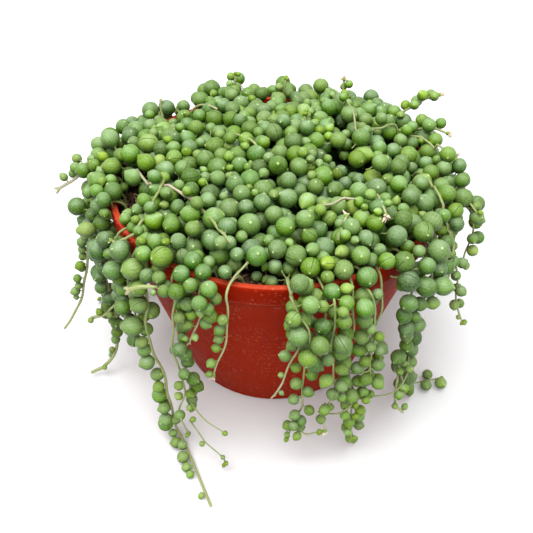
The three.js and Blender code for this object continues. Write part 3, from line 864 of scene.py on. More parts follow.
def farSideStems():
    random, far = makeRandom(farSide["seed"]), farSide
    stems = []
    for i in range(far["count"]):
        azimuth = lerp(far["from"], far["to"], i / (far["count"] - 1))
        drop = far["drops"][i % len(far["drops"])] * about(random, far["dropSpread"])
        run = far["runs"][i % len(far["runs"])]
        lowest = far["landing"] if run else 0
        levels = round(drop / far["level"])
        way = []
        for k in range(1, levels + 1):
            swung = azimuth + jitter(random, far["sway"])
            radius = far["radius"] + jitter(random, far["radiusSway"])
            way.append([swung, radius, max(far["height"] - drop * k / levels, lowest)])
        turn = far["runTurn"] * (1 if i % 2 else -1)
        for k in range(1, int(run / far["runStep"]) + 1):
            way.append([azimuth + turn * k, far["radius"] + far["runStep"] * k, far["lying"]])
        stems.append(stem(azimuth, way, far["gap"], far["first"], far["last"]))
    return stems


# Finer stems that hang between the others and have no solid of their own.
between = [
    stem(-45, [[-44, 78, 92], [-45, 78, 82], [-45, 77, 71], [-44, 76, 60]], 3.2, 4.1, 3, light=0.05),
    stem(-24, [[-27, 79, 87], [-28, 79, 71], [-28, 79, 54], [-27, 78, 40], [-29, 78, 22], [-27, 78, 9]],
         7.5, 2.9, 2.3, light=-0.35),
    stem(5.5, [[4, 79, 100], [6, 82, 94], [8, 84, 90], [10, 84, 80], [13, 80, 70]], 3.8, 3.9, 3.4,
         light=0.15),
    stem(18, [[15, 80, 96], [15, 81, 84], [16, 81, 68], [17, 80, 51], [16, 80, 38]], 4.6, 4, 2.3, light=0.1),
    stem(28, [[25, 79, 96], [26, 80, 89], [28, 80, 76], [28, 80, 62], [27, 80, 45], [25, 80, 35]],
         4.6, 3.9, 2.2),
    stem(-90, [[-90, 75, 98], [-89, 76.5, 91], [-88, 77, 80]], 2.8, 4.6, 3.9, light=0.12),
    stem(-104, [[-103, 75, 98], [-102, 76.5, 90], [-101, 77, 80]], 2.8, 4.6, 3.8, light=0.12),
    stem(-78, [[-78, 77, 94], [-79, 78, 86], [-79, 78, 70]], 3, 4.3, 3.4, light=-0.35),
    stem(-93, [[-92, 75, 92], [-91, 75.5, 82], [-91, 75.5, 70], [-90, 75.5, 58], [-89, 76, 46]], 2.9, 3.9, 3,
         light=-0.5),
    stem(47.5, [[47, 79, 92], [47, 79, 82], [45, 79, 72]], 3.6, 4.5, 3.8),
]

# Stems that creep over the mound, lie loose on the curtain or stick out of it.
loose = [
    stem(None, [[-74, 57, 110], [-67, 55, 111], [-57, 51.5, 112], [-44.6, 48.6, 112], [-34, 50, 112]],
         13, 2.2, 2.4, draped=True, thick=(0.55, 0.6), dry=0.95, tip="blunt"),
    stem(None, [[-33, 50.5, 111], [-28, 52.5, 111], [-22, 56, 110], [-14.4, 62.5, 107]], 9, 2.6, 3,
         draped=True, thick=(0.6, 0.55), dry=0.1, tip="blunt"),
    stem(None, [[-58, 50, 110], [-53.4, 54.6, 110], [-52, 58.5, 109], [-49, 63.6, 106], [-46.5, 70.5, 103],
                [-49, 75, 100], [-52, 77, 98]], 4.5, 2.7, 2, draped=True, thick=(0.65, 0.5), dry=0.1,
         tip="flower"),
    stem(None, [[-126, 51, 112], [-130, 44, 113], [-131, 34, 115]], 20, 2.4, 2.4, draped=True,
         thick=(0.5, 0.5), dry=0.3, tip="blunt"),
    stem(None, [[-91, 18, 118], [-69, 12, 119], [-35, 11.5, 119]], 14, 2.2, 2.4, draped=True,
         thick=(0.5, 0.5), dry=0.2, tip="blunt"),
    stem(None, [[139, 46, 113], [129, 41.5, 114], [113, 37, 115]], 20, 2.2, 2.2, draped=True,
         thick=(0.5, 0.45), dry=0.25, tip="flower"),
    stem(None, [[112, 40, 114], [107, 46, 114], [110, 54, 113.5], [105, 62, 113], [97, 68, 112],
                [93, 74, 109]], 11, 2.6, 3, draped=True, thick=(0.5, 0.5), dry=0.15, tip="flower"),
    stem(None, [[90, 56, 112], [80, 60, 112], [72, 65, 110], [66, 71, 104.5], [64, 76, 96], [62, 78.5, 85],
                [60, 80, 71]], 7, 3.6, 3, draped=True, thick=(0.62, 0.5), dry=0.15, light=-0.1),
    stem(None, [[20, 44, 113], [26, 46, 113], [33, 45.5, 113], [37, 48, 112.5]], 20, 2.2, 2.2, draped=True,
         thick=(0.45, 0.4), dry=0.7, tip="blunt"),
    stem(None, [[22, 60, 109], [26, 56, 110], [29, 53, 111]], 20, 1.9, 1.9, draped=True, thick=(0.55, 0.6),
         dry=0.55, tip="flower"),
    stem(None, [[46, 52, 112], [43, 57, 111], [41, 61, 110]], 3.4, 2, 1.6, draped=True, thick=(0.5, 0.5),
         dry=0.3, light=0.4, tip="flower"),
    stem(None, [[-161, 60, 100], [-161, 61.5, 106], [-162, 62.5, 111]], 2.2, 2.6, 1.7, thick=(0.6, 0.5),
         light=0.35),
    stem(None, [[178, 58, 100], [177, 59, 105], [176, 60, 109]], 2.2, 2.6, 1.6, thick=(0.6, 0.5), light=0.4),
    stem(None, [[149, 62, 100], [151, 64, 106], [152, 65, 111]], 2.2, 2.7, 1.6, thick=(0.6, 0.5), light=0.3,
         tip="flower"),
    stem(None, [[124, 64, 103], [122, 69, 108], [120, 75, 112], [117, 80, 115]], 2.6, 3, 1.9,
         thick=(0.6, 0.5), light=0.25, tip="flower"),
    stem(None, [[112, 64, 104], [108, 70, 107], [105, 76, 106]], 3.4, 3.2, 2.6, thick=(0.6, 0.5), light=0.15,
         tip="flower"),
    stem(None, [[125, 14, 112], [124, 15, 117], [126, 15.5, 121]], 2.2, 2, 1.4, thick=(0.5, 0.4), light=0.5),
    stem(None, [[-129, 68, 95], [-130, 70, 100], [-131, 71, 105]], 20, 1.8, 1.8, thick=(0.8, 0.7), dry=0.3,
         tip="blunt"),
    stem(None, [[77, 74, 98], [75, 79, 99], [73, 83, 96]], 2.6, 2.8, 2, thick=(0.5, 0.4), light=0.1),
    stem(None, [[16, 77, 38], [15, 80, 31], [15, 81, 25]], 30, 1.8, 1.8, thick=(0.4, 0.4), dry=0.5,
         tip="flower"),
    stem(None, [[43, 76, 42], [43, 79, 34], [44, 80, 26]], 9, 1.8, 1.8, thick=(0.4, 0.4), dry=0.4,
         tip="flower"),
    stem(None, [[-25, 78, 33], [-19.5, 81, 28], [-14, 82, 25]], 30, 1.2, 1.2, thick=(0.3, 0.25), dry=0.1),
    stem(None, [[-26, 78, 20], [-22, 80.5, 18], [-18, 82, 12], [-13.5, 83, 5]], 9, 1.3, 1.1,
         thick=(0.3, 0.25), dry=0.1),
    stem(None, [[-31, 79.5, 94], [-34.5, 82.5, 94], [-37.5, 84.5, 91.5]], 40, 1.2, 1.2, thick=(0.6, 0.85),
         dry=0.15, pale=1, tip="fork"),
    stem(None, [[14, 77, 33], [19, 80, 34], [23, 80, 38]], 30, 1.8, 1.8, thick=(0.35, 0.3)),
    stem(None, [[30, 77, 33], [37, 81, 34], [44, 80, 38], [49, 75, 42]], 9, 1.7, 1.9, thick=(0.3, 0.3)),
    stem(None, [[20, 77, 54], [26, 80, 55], [31, 78, 57]], 30, 1.8, 1.8, thick=(0.35, 0.35)),
    stem(None, [[44, 76, 38], [40, 80, 31], [40, 81, 23], [43, 82, 16]], 8, 1.8, 1.5, thick=(0.5, 0.7),
         dry=0.3, pale=0.8, tip="blunt"),
    stem(None, [[6, 76, 30], [9.6, 79, 23], [13, 80, 24]], 7, 1.9, 1.7, thick=(0.35, 0.35)),
    stem(None, [[22, 77, 40], [22.8, 79, 30], [25, 80, 14]], 7, 2.3, 1.4, thick=(0.4, 0.35), light=0.2),
    stem(None, [[-64, 76, 50], [-69, 80, 40], [-73, 86, 33]], 7, 1.6, 1.4, thick=(0.55, 0.85), dry=0.15,
         pale=0.5, tip="blunt"),
    stem(None, [[-5, 61, 105], [-8.9, 65.6, 102.2], [-11.7, 68.4, 99], [-12.6, 71, 97.6]], 30, 1.2, 1.2,
         thick=(0.5, 0.4), dry=0.25, pale=0.9, tip="blunt"),
]


# A stem with an azimuth is rooted in the peat there and climbs over the rim first.
def curveOf(spec, step):
    points, azimuth, crest = [], spec["azimuth"], strand["crest"]
    if azimuth is not None:
        points.append(place(azimuth, strand["rootRadius"], strand["rootTop"]))
        for i, (radius, height) in enumerate(crest):
            share = (i + 1) / (len(crest) + 1)
            points.append(place(lerp(azimuth, spec["way"][0][0], share), radius, height))
    points.extend(place(*stop) for stop in spec["way"])
    return smoothLine(points, step)


# The short stalk of a leaf sags a little, and is thinner in its middle than at its ends.
stalk = {"sides": 5, "sag": 0.1, "waist": (1.1, 0.8, 1.15), "pale": (0.15, 0.4), "dry": 0.05}


def addPetiole(pile, start, end, random, thick):
    middle = (start + end) / 2 + Vector((0, 0, -stalk["sag"] * (end - start).length))
    low, spread = stalk["pale"]
    tone = (low + spread * random(), stalk["dry"], 0)
    radii = [thick * share for share in stalk["waist"]]
    addToPile(pile, *tube([start, middle, end], radii, stalk["sides"]), tone, slot=1)


def wave(along, wide, fine, first, second):
    return math.sin(along / wide + first) + strand["fineWave"] * math.sin(along / fine + second)


# Real stems are never quite straight, so they sway a little along their way, more below the first stretch.
def swayed(line, random):
    a, b, c, d = [2 * math.pi * random() for k in range(4)]
    for k, point in enumerate(line):
        along = k * strand["step"]
        sway = min(1, along / strand["calmLength"]) * strand["wander"]
        if point.z > strand["swayAbove"]:
            point.x += sway * wave(along, *strand["waves"][0], a, b) * strand["damped"]
            point.y += sway * wave(along, *strand["waves"][1], c, d) * strand["damped"]
    return line


# What ends a stem: a dried flower of crumpled petals round a husk, small buds, or a fork of two short
# branches. A blunt tip gets nothing more than the end of its stem.
flower = {
    "petals": 8, "sides": 5, "spread": 0.9, "lengths": (1.4, 2.8), "crumple": 0.5, "halfway": (0.5, 0.4),
    "baseThick": 0.3, "middleThick": (0.35, 0.6), "endThick": 0.16, "husk": 0.9, "huskTone": (0.4, 0.6, 0.2),
}
buds = {
    "count": 3, "radius": 1.1, "shrink": 0.2, "ahead": (0.5, 0.4), "spread": 0.8, "seat": 1.1, "ground": 0.3,
    "youth": 0.9, "tone": (0.6, 0.55, 0.3),
}
fork = {"length": 2.6, "opening": 0.5, "taper": (1, 0.9, 0.6), "sides": 6, "ground": 0.2, "tone": (1, 0.5, 0)}


def addFlower(pile, at, ahead, random):
    outShare, bendShare = flower["halfway"]
    for k in range(flower["petals"]):
        out = (ahead * (0.5 + random()) + randomDirection(random) * flower["spread"]).normalized()
        reach = lerp(*flower["lengths"], random())
        bend = randomDirection(random) * flower["crumple"]
        line = [at, at + out * reach * outShare + bend * bendShare, at + out * reach + bend]
        radii = [flower["baseThick"], lerp(*flower["middleThick"], random()), flower["endThick"]]
        addToPile(pile, *tube(line, radii, flower["sides"]), (random(), 0, 0), slot=2)
    addLeaf(pile, newLeaf(at, flower["husk"], ahead, buds["youth"], flower["huskTone"]), random)


def addTip(pile, spec, line, random):
    tip, ahead = line[-1], (line[-1] - line[-2]).normalized()
    if spec["tip"] == "buds":
        first, more = buds["ahead"]
        for k in range(buds["count"]):
            radius = buds["radius"] - buds["shrink"] * k
            aside = (ahead * (first + more * k) + randomDirection(random) * buds["spread"]).normalized()
            centre = tip + aside * radius * buds["seat"]
            centre.z = max(centre.z, radius * buds["seat"] + buds["ground"])
            addLeaf(pile, newLeaf(centre, radius, aside, buds["youth"], buds["tone"]), random)
    elif spec["tip"] == "fork":
        thick = spec["thick"][1]
        radii = [thick * share for share in fork["taper"]]
        for turn in (-1, 1):
            aside = (ahead + ahead.orthogonal().normalized() * fork["opening"] * turn).normalized()
            end = tip + aside * fork["length"]
            end.z = max(end.z, thick + fork["ground"])
            addToPile(pile, *tube([tip, (tip + end) / 2, end], radii, fork["sides"]), fork["tone"], slot=1)
    elif spec["tip"] == "flower":
        addFlower(pile, tip, ahead, random)


# The first free place for a leaf, which turns round its stem and shrinks until it fits.
def freePlace(at, tangent, outward, lean, side, petiole, size, owner, squeeze):
    restShare, restGap = strand["rest"]
    for turn in strand["turns"]:
        aside = outward.copy()
        aside.rotate(Quaternion(tangent, math.radians(lean + turn * side)))
        aside = (aside - Vector((0, 0, strand["droop"]))).normalized()
        for share in strand["sizes"]:
            radius = size * share
            centre = at + aside * (strand["off"] + petiole + radius * strand["seat"])
            centre.z = max(centre.z, radius * restShare + restGap)
            if not nearBareRim(centre, radius) and isClear(centre, radius, owner, squeeze):
                return centre, radius
    return None, 0


def stemLeaves(spec, line, length, owner, random, squeeze):
    rooted = spec["azimuth"] is not None
    side = 1 if random() < 0.5 else -1
    along = strand["firstLeaf"] if rooted else strand["looseLeaf"]
    pearls = []
    while along < (length - 1) * spec["stop"]:
        share = along / length
        knot = min(int(share * (len(line) - 1)), len(line) - 2)
        at = line[knot].lerp(line[knot + 1], share * (len(line) - 1) - knot)
        tangent = (line[knot + 1] - line[knot]).normalized()
        # where the stem lies on the leaves or on the ground, its leaves stand up
        level = at.z > strand["onLeaves"] or at.z < strand["onGround"]
        out, up = strand["standing" if level else "hanging"]
        outward = Vector((at.x, at.y, 0)).normalized() * out
        outward.z = up
        outward = (outward - tangent * outward.dot(tangent)).normalized()
        onRim = rooted and along < strand["rimEnd"]
        inBare = share > 1 - spec["bare"]
        size = lerp(spec["first"], spec["last"], share ** strand["taper"]) * about(random, strand["spread"])
        if inBare:
            size *= strand["bareSize"]
        petiole = lerp(*strand["rimPetiole" if onRim else "petiole"], random() ** strand["petioleBias"])
        side = spec["side"] or -side
        lean = side * lerp(*(strand["rimLean"] if onRim else spec["lean"]), random())
        centre, radius = freePlace(at, tangent, outward, lean, side, petiole, size, owner, squeeze)
        if radius:
            axis = (centre - at).normalized() + randomDirection(random) * strand["axisSpread"]
            # The stem's light gives its leaves painted light or painted shade, and those towards +x get
            # painted light. They are also lighter towards the stem's end.
            shade = 0.5 + spec["light"] + strand["shadeAlong"] * share + strand["shadeAcross"] * centre.x
            young, tone = leafTone(random, radius, shade)
            pointed = at.z < strand["pointedBelow"] and random() < strand["pointedShare"]
            occupy(centre, radius, owner)
            pearls.append(newLeaf(centre, radius, axis.normalized(), young, tone,
                                  "pointed" if pointed else "grown", at=at))
        wider = strand["bareGap"] if inBare else strand["rimGap"] if onRim else 1
        along += spec["gap"] * about(random, strand["gapSpread"]) * wider
    return pearls


def dressStem(spec, owner, random, pile, squeeze):
    line, length = curveOf(spec, strand["step"])
    line = drape(line) if spec["draped"] else swayed(line, random)
    pearls = stemLeaves(spec, line, length, owner, random, squeeze)
    last = len(line) - 1
    radii = [lerp(*spec["thick"], k / last) * about(random, strand["thickSpread"]) for k in range(last + 1)]
    if spec["azimuth"] is not None:
        line = [place(spec["azimuth"], strand["rootRadius"], strand["rootDepth"])] + line
        radii = [spec["thick"][0]] + radii
    tones = []
    dry, drier = strand["drier"]
    for k in range(len(line)):
        share = k / (len(line) - 1)
        tone = (spec["pale"] + strand["paler"] * share, min(1, spec["dry"] * (dry + drier * share)), 0)
        tones.extend([tone] * strand["sides"])
    addToPile(pile, *tube(line, radii, strand["sides"]), tones + [tones[0], tones[-1]], slot=1)
    for pearl in pearls:
        foot = pearl["centre"] - pearl["axis"] * pearl["radius"] * strand["footIn"]
        if (foot - pearl["at"]).length > strand["shortest"]:
            thick, thicker = strand["stalkThick"]
            addPetiole(pile, pearl["at"], foot, random, thick + thicker * pearl["radius"])
        addLeaf(pile, pearl, random)
    addTip(pile, spec, line, random)
    return len(pearls)


heapLevels = range(7, 12)  # the boxes from under the rim to above the mound


# Height of the highest leaf over a spot, or None where there is none.
def heapTop(x, y):
    highest = None
    for other, radius, _ in neighbours(x, y, heapLevels):
        near = (other.x - x) ** 2 + (other.y - y) ** 2
        if near < radius * radius and radius > leaf["stemBelow"]:
            top = other.z + math.sqrt(radius * radius - near)
            highest = top if highest is None else max(highest, top)
    return highest


# A loose stem lies on the leaves below it and hangs a little between them.
draping = {"gap": 0.3, "mostRise": 3, "reach": 4, "sag": 0.55}


def drape(line):
    heights = []
    for point in line:
        top = heapTop(point.x, point.y)
        lifted = point.z + draping["mostRise"]
        heights.append(point.z if top is None else min(top + draping["gap"], lifted))
    for k, point in enumerate(line):
        near = heights[max(0, k - draping["reach"]):k + draping["reach"] + 1]
        point.z = lerp(max(near), sum(near) / len(near), draping["sag"])
    return line


# Big leaves that stand out, each with its azimuth, distance from the pot's axis, height and radius.
perched = [
    [-98, 71, 106, 4], [-84, 59, 109, 4], [-82, 67, 105, 3.6], [-79, 73, 101, 4], [-75, 53, 110, 3.7],
    [-72, 59, 106, 3.5], [-72, 67.5, 101, 3.8], [-71, 74, 96, 3.6], [-88, 75.5, 101, 2.7],
    [-65, 47, 111, 3.5], [-57, 54, 108, 3.2], [-58, 62, 101, 2.7], [-42, 70, 101, 3.7],
    [-59, 67, 98, 2.5], [-33, 73, 102, 4.1], [-34, 55, 109, 3.6], [-38, 61, 106, 3.3],
    [-24, 70, 103, 3.3], [-20, 72, 101, 3.1], [-25, 76, 101, 3.1], [-22, 77, 98, 2.8],
    [-17, 76.5, 98, 3.1], [-25, 80, 96, 3], [-14.5, 68.5, 100, 2.6], [-21, 61, 106, 3.5],
    [-18, 55, 109, 3.4], [-12, 63, 104, 2.8], [-5.5, 63.5, 105, 3.7], [1, 60.5, 106, 3.5],
    [4, 53, 110, 3.6], [12, 51, 111, 3.6], [7, 62, 104, 3.9], [11, 66.5, 102, 3.7], [-6, 60, 92, 2.2],
    [-2.5, 60, 91, 1.8], [2, 57, 93, 2.4], [-3, 57.5, 95, 1.8], [7, 61, 94, 2], [91, 25, 113, 3.4],
    [97, 35, 112, 3.9], [73, 43, 111, 3.6], [74, 50, 110, 3.5], [63, 53, 109, 3.5], [59, 59.5, 108, 3.6],
    [43, 55, 110, 3.3], [47, 64, 107, 3.6], [40, 68, 106, 3.9], [50, 71, 103, 4], [50, 78.5, 98, 4.3],
    [38, 75, 100, 3.9], [26, 69, 105, 3.5], [20, 70.5, 102, 3.5], [26, 74, 99, 3.8], [15.5, 75, 97, 3.2],
    [28, 58, 109, 3.4], [76, 77, 99, 3.9], [82, 76, 102, 3], [37.2, 79.3, 94.5, 4.1], [23, 81.5, 92, 3.5],
    [-70, 74, 88.5, 3.6], [-66.5, 72.8, 84.5, 2.6], [-62.5, 64.6, 96.8, 2.2], [-31.5, 77.6, 96.5, 2.6],
    [-35.5, 78, 95, 2.8], [-20.7, 65.4, 100, 2.4], [-30.5, 76, 91.5, 2.6], [-16, 74, 91.5, 2.3],
    [179.5, 53, 102, 3.9], [-173, 61, 101, 3.2], [175, 61, 101.5, 2.8], [170.7, 56, 102, 3.2],
    [92, 69, 99, 2.4], [-68.5, 72, 93, 1.9], [-35.5, 72.6, 94.5, 2.4],
]


# The big leaves point outward, the low ones down too. Those of the front right are darker, painted shade,
# and so are the low ones, more the lower they lie.
perch = {
    "outward": 0.8, "highAbove": 96, "up": 0.6, "down": -0.2, "spread": 0.6, "shade": 0.64,
    "deepShade": 0.42, "deepFrom": 36, "deepTo": 60, "lowBelow": 97, "lowFrom": 104, "lowShade": 0.02,
    "grownAbove": 2.7, "youthSpread": 0.1, "pointedUpTo": -55, "seed": 31,
}


def perchedLeaves():
    random = makeRandom(perch["seed"])
    pearls = []
    for azimuth, reach, height, radius in perched:
        centre = place(azimuth, reach, height)
        outward = Vector((centre.x, centre.y, 0)).normalized()
        rise = perch["up"] if height > perch["highAbove"] else perch["down"]
        axis = outward * perch["outward"] + Vector((0, 0, rise)) + randomDirection(random) * perch["spread"]
        shade = perch["deepShade"] if perch["deepFrom"] < azimuth < perch["deepTo"] else perch["shade"]
        if height < perch["lowBelow"]:
            shade -= perch["lowShade"] * (perch["lowFrom"] - height)
        young, tone = leafTone(random, radius, shade)
        if radius > perch["grownAbove"]:
            young, tone = 0.0, (tone[0], perch["youthSpread"] * random(), tone[2])
        occupy(centre, radius, "perched")
        pearls.append(newLeaf(centre, radius, axis.normalized(), young, tone,
                              "pointed" if azimuth < perch["pointedUpTo"] else "grown"))
    return pearls


plantSkins = [leafSkin, stemSkin, budSkin]
rooted = trailing + farSideStems()


# The leaves keep clear of every stem, so all the stems take their room first, and then the big leaves do.
def makeStems():
    for owner, spec in enumerate(rooted + between):
        for point in curveOf(spec, strand["guideStep"])[0]:
            occupy(point, strand["guideRadius"], owner)
    bigOnes = perchedLeaves()
    leaves = 0
    for owner, spec in enumerate(rooted + between):
        k = owner if owner < len(rooted) else owner - len(rooted)
        seed = strand["seed" if owner < len(rooted) else "fineSeed"] + strand["seedStep"] * k
        pile = newPile()
        leaves += dressStem(spec, owner, makeRandom(seed), pile, leaf["squeeze"])
        if owner < len(rooted):
            settle(makePiece("stem_%02d" % (k + 1), pile, plantSkins), "leaf", "strand_%02d" % (k + 1))
        else:
            settle(makePiece("fine_stem_%02d" % (k + 1), pile, plantSkins), "leaf")
    print("trailing stems made,", leaves, "leaves")
    return bigOnes


bigOnes = makeStems()

# passes are the tries of the heap: how many, the least and greatest radius, and how far below its top they
# stay. dips lower its edge at an azimuth, and hollows lower it round a spot.
mound = {
    "top": 118, "fall": 12.5, "fallRadius": 62, "reach": 73, "bedDepth": 12.5, "bedRadius": 60,
    "bedGap": 2, "edgeGap": 1, "tilt": (0.3, -0.2, 0.7), "tiltReach": 60,
    "passes": [(1500, 3.2, 4.2, 0), (1500, 2.8, 3.7, 0), (800, 2.1, 3.0, 1.4), (90, 1.4, 2.2, -2.2)],
    "seed": 77, "squeeze": 0.945, "rollSteps": (1.6, 0.8, 0.4), "rollReach": 4, "edgeSwell": 0.10,
    "dips": [(-134, 11, 9), (176, 9, 8), (86, 8, 5)], "dipFrom": 42, "dipWidth": 16, "pointed": 0.3,
    "hollows": [(28, -17, 9, 10), (25, 10, 10, 4), (9, -47, 6, 6), (-13, -16, 7, 3), (-34, -38, 6, 4),
                (-20, -31, 7, 4)],
    "lift": 1.8, "liftSwing": 3.0, "liftTurn": -25, "loose": 3.0, "room": 0.86, "rollTries": 4,
    "shade": 0.56, "shadeDeeper": 0.04, "shadeHollow": 0.055, "shadeAcross": 0.0008,
    "stalkThick": 0.34, "stalkSpread": 0.8, "footIn": 0.92,
    "heapStalk": (1.2, 2.6), "bigStalk": (2.4, 0.5),  # how far a stalk goes back and down
}


def hollowDepth(x, y):
    return sum(depth * math.exp(-((x - middleX) ** 2 + (y - middleY) ** 2) / width ** 2)
               for middleX, middleY, width, depth in mound["hollows"])


def moundTop(x, y):
    reach, azimuth = math.hypot(x, y), azimuthOf(x, y)
    lumps = 1.7 * math.sin(x / 10 + 0.7) * math.cos(y / 12)
    lumps += 1.1 * math.sin((x + y) / 6.5) * math.cos((x - y) / 7.3)
    turn = math.atan2(x, -y) - math.radians(mound["liftTurn"])
    lift = (mound["lift"] + mound["liftSwing"] * math.cos(turn)) * (reach / lipInner) ** 4
    outer = clamp((reach - mound["dipFrom"]) / mound["dipWidth"])
    for middle, width, depth in mound["dips"]:
        away = abs((azimuth - middle + 180) % 360 - 180) / width
        lift -= depth * outer * math.exp(-away ** 4)
    lift -= hollowDepth(x, y)
    return mound["top"] - mound["fall"] * (reach / mound["fallRadius"]) ** 2 + lumps + lift


def bedHeight(x, y):
    reach = math.hypot(x, y)
    if reach < mound["bedRadius"]:
        return max(moundTop(x, y) - mound["bedDepth"], soil["top"] + mound["bedGap"])
    return soil["top"] + mound["edgeGap"] if reach < lipInner else pot["height"]


# A leaf falls on the heap and rolls downhill in a few small steps, each to the lowest spot beside it.
def rollDown(x, y, radius, unseen):
    near = [(*other, ((radius + otherRadius) * mound["squeeze"]) ** 2)
            for other, otherRadius, owner in neighbours(x, y, heapLevels) if owner != unseen]

    def restAt(x, y):
        rest = bedHeight(x, y) + radius
        for otherX, otherY, otherZ, room in near:
            gap = room - (otherX - x) ** 2 - (otherY - y) ** 2
            if gap > 0:
                rest = max(rest, otherZ + math.sqrt(gap))
        return rest

    startX, startY, rest = x, y, restAt(x, y)
    for step in mound["rollSteps"]:
        for k in range(mound["rollTries"]):
            around = []
            for turn in (i * math.pi / 3 for i in range(6)):
                newX, newY = x + step * math.cos(turn), y + step * math.sin(turn)
                if math.hypot(newX - startX, newY - startY) < mound["rollReach"]:
                    around.append((restAt(newX, newY), newX, newY))
            if not around or min(around)[0] >= rest:
                break
            rest, x, y = min(around)
    return Vector((x, y, rest))


# The leaves of the heap that are in the way of the big ones are taken out again.
def makeRoom(pearls, bigOnes):
    kept = []
    for pearl in pearls:
        centre, radius = pearl["centre"], pearl["radius"]
        if min((centre - big["centre"]).length / (radius + big["radius"]) for big in bigOnes) > mound["room"]:
            kept.append(pearl)
        else:
            taken[boxOf(centre)].remove((centre, radius, "mound"))
    return kept


# The first two passes heap up under the big leaves, and the others round them.
def heapLeaves(random, bigOnes):
    pearls = []
    outward, forward, upward = mound["tilt"]
    for turn, (tries, small, large, below) in enumerate(mound["passes"]):
        if turn == 2:
            pearls = makeRoom(pearls, bigOnes)
        for i in range(tries):
            reach = mound["reach"] * math.sqrt(random())
            x, y, _ = place(360 * random(), reach, 0)
            radius = lerp(small, large, random()) * (1 + mound["edgeSwell"] * (reach / lipInner) ** 2)
            centre = rollDown(x, y, radius, "perched" if turn < 2 else None)
            x, y, rest = centre
            limit = moundTop(x, y) + jitter(random, mound["loose"]) - below
            if rest + radius > limit or nearBareRim(centre, radius):
                continue
            if distanceToPot(centre) < radius * leaf["potGap"]:
                continue
            occupy(centre, radius, "mound")
            across, away = outward * x / mound["tiltReach"], outward * y / mound["tiltReach"]
            axis = randomDirection(random) + Vector((across, forward + away, upward))
            # Leaves deeper under the mound's top and in its hollows get painted shade, and those towards +x
            # painted light.
            depth = moundTop(x, y) - rest - radius
            shade = mound["shade"] - mound["shadeDeeper"] * depth - mound["shadeHollow"] * hollowDepth(x, y)
            shade += mound["shadeAcross"] * x
            young, tone = leafTone(random, radius, shade)
            shape = "pointed" if random() < mound["pointed"] else "grown"
            pearls.append(newLeaf(centre, radius, axis.normalized(), young, tone, shape, heaped=True))
    return pearls


def makeMound():
    random = makeRandom(mound["seed"])
    pearls = bigOnes + heapLeaves(random, bigOnes)
    front, back = newPile(), newPile()
    for pearl in pearls:
        pile = front if pearl["centre"].y < 0 else back
        behind, below = mound["heapStalk" if pearl["heaped"] else "bigStalk"]
        foot = pearl["centre"] - pearl["axis"] * pearl["radius"] * mound["footIn"]
        root = foot - pearl["axis"] * behind + randomDirection(random) * mound["stalkSpread"]
        root.z = min(root.z, foot.z) - below
        addPetiole(pile, root, foot, random, mound["stalkThick"])
        addLeaf(pile, pearl, random)
    settle(makePiece("mound_front", front, plantSkins), "leaf", "crown")
    settle(makePiece("mound_back", back, plantSkins), "leaf", "crown")
    makeHeart(random)
    print("mound made,", len(pearls), "leaves")


# A dark lumpy body fills the inside of the mound, under its leaves, painted shade that shows in the gaps
# between them. Beyond its shoulder it falls to its edge.
heart = {
    "radius": 52.5, "below": 15, "middle": 100, "shoulder": 43, "shoulderTop": 97, "edge": 9, "edgeTop": 88,
    "lumps": 1.5, "bottom": 86.5, "bottomRadius": 52, "rings": 10, "sides": 72,
}


def makeHeart(random):
    def lumpy(point):
        if point.z < heart["edgeTop"]:
            return point
        past = reachOf(point) - heart["shoulder"]
        height = moundTop(point.x, point.y) - heart["below"]
        if past > 0:
            height = min(height, lerp(heart["shoulderTop"], heart["edgeTop"], past / heart["edge"]))
        point.z = height + jitter(random, heart["lumps"])
        return point

    rings, bottom = heart["rings"], heart["bottom"]
    profile = [(0, bottom), (heart["bottomRadius"], bottom)]
    profile += [(heart["radius"] * k / rings, heart["middle"]) for k in range(rings, -1, -1)]
    pile = newPile()
    addToPile(pile, *turned(profile, heart["sides"], lumpy))
    settle(makePiece("mound_heart", pile, [heartSkin]), "leaf", "crown")


makeMound()


def makeLooseStems():
    pile, leaves = newPile(), 0
    for k, spec in enumerate(loose):
        random = makeRandom(strand["looseSeed"] + strand["seedStep"] * k)
        leaves += dressStem(spec, "loose%d" % k, random, pile, leaf["looseSqueeze"])
    settle(makePiece("loose_stems", pile, plantSkins), "leaf")
    print("loose stems made,", leaves, "leaves")


makeLooseStems()


def makeFloor(reach):
    mesh = bpy.data.meshes.new("floor")
    corners = [(-reach, -reach, 0), (reach, -reach, 0), (reach, reach, 0), (-reach, reach, 0)]
    mesh.from_pydata(corners, [], [(0, 1, 2, 3)])
    mesh.materials.append(floorSkin)
    floor = bpy.data.objects.new("floor", mesh)
    bpy.context.scene.collection.objects.link(floor)


# Two soft lamps, each with its place, size and power, and a pale sky all round.
light = {
    "sky": (0.96, 0.98, 1.0, 1), "skyStrength": 0.72, "aim": (0, 0, 0.06),
    "lamps": {"keyLight": ((-0.14, -0.18, 0.95), 1.0, 16.8), "fillLight": ((0.5, -0.9, 0.6), 1.0, 4)},
}


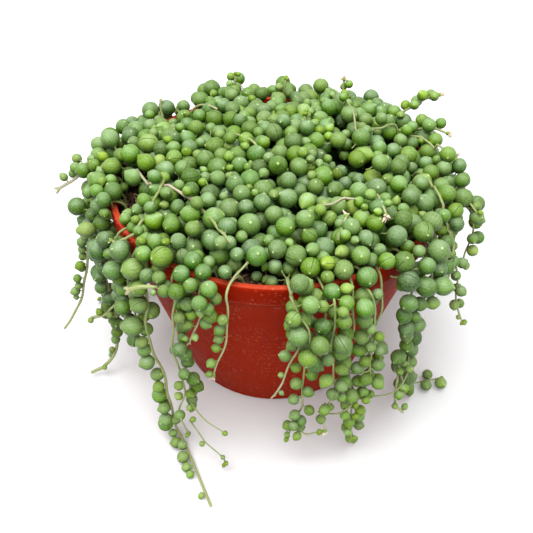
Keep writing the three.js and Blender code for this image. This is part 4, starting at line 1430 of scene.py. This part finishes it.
def makeLight():
    world = bpy.data.worlds.new("softSky")
    world.use_nodes = True
    background = world.node_tree.nodes["Background"]
    background.inputs["Color"].default_value = light["sky"]
    background.inputs["Strength"].default_value = light["skyStrength"]
    bpy.context.scene.world = world
    for name, (spot, size, power) in light["lamps"].items():
        lamp = bpy.data.lights.new(name, "AREA")
        lamp.size = size
        lamp.energy = power
        holder = bpy.data.objects.new(name, lamp)
        holder.location = spot
        holder.rotation_euler = (Vector(light["aim"]) - Vector(spot)).to_track_quat("-Z", "Y").to_euler()
        bpy.context.scene.collection.objects.link(holder)


# The camera stands in front of the pot and looks down at it. focal and picture are in pixels.
view = {"height": 0.095, "elevation": 34.4, "distance": 0.311, "tilt": 41.4, "pan": -0.8, "roll": -0.5,
        "focal": 732.0, "picture": 533.0, "sensor": 36.0, "nearest": 0.01}


def makeCamera():
    rise, tilt, pan, roll = (math.radians(view[k]) for k in ("elevation", "tilt", "pan", "roll"))
    spot = Vector((0, -math.cos(rise), math.sin(rise))) * view["distance"] + Vector((0, 0, view["height"]))
    ahead = Vector((math.sin(pan) * math.cos(tilt), math.cos(pan) * math.cos(tilt), -math.sin(tilt)))
    right = ahead.cross(Vector((0, 0, 1))).normalized()
    up = right.cross(ahead)
    across = right * math.cos(roll) - up * math.sin(roll)
    upward = right * math.sin(roll) + up * math.cos(roll)
    camera = bpy.data.objects.new("camera", bpy.data.cameras.new("camera"))
    camera.data.sensor_width = view["sensor"]
    camera.data.lens = view["focal"] / view["picture"] * view["sensor"]
    camera.data.clip_start = view["nearest"]
    turn = Matrix((across, upward, -ahead)).transposed().to_4x4()
    camera.matrix_world = Matrix.Translation(spot) @ turn
    bpy.context.scene.collection.objects.link(camera)
    bpy.context.scene.camera = camera
    bpy.context.scene.view_settings.view_transform = "Standard"


makeFloor(3.0)
makeLight()
makeCamera()
triangles = sum(len(p.vertices) - 2 for o in bpy.data.objects if o.type == "MESH" for p in o.data.polygons)
print("floor, light and camera made,", triangles, "triangles in all")
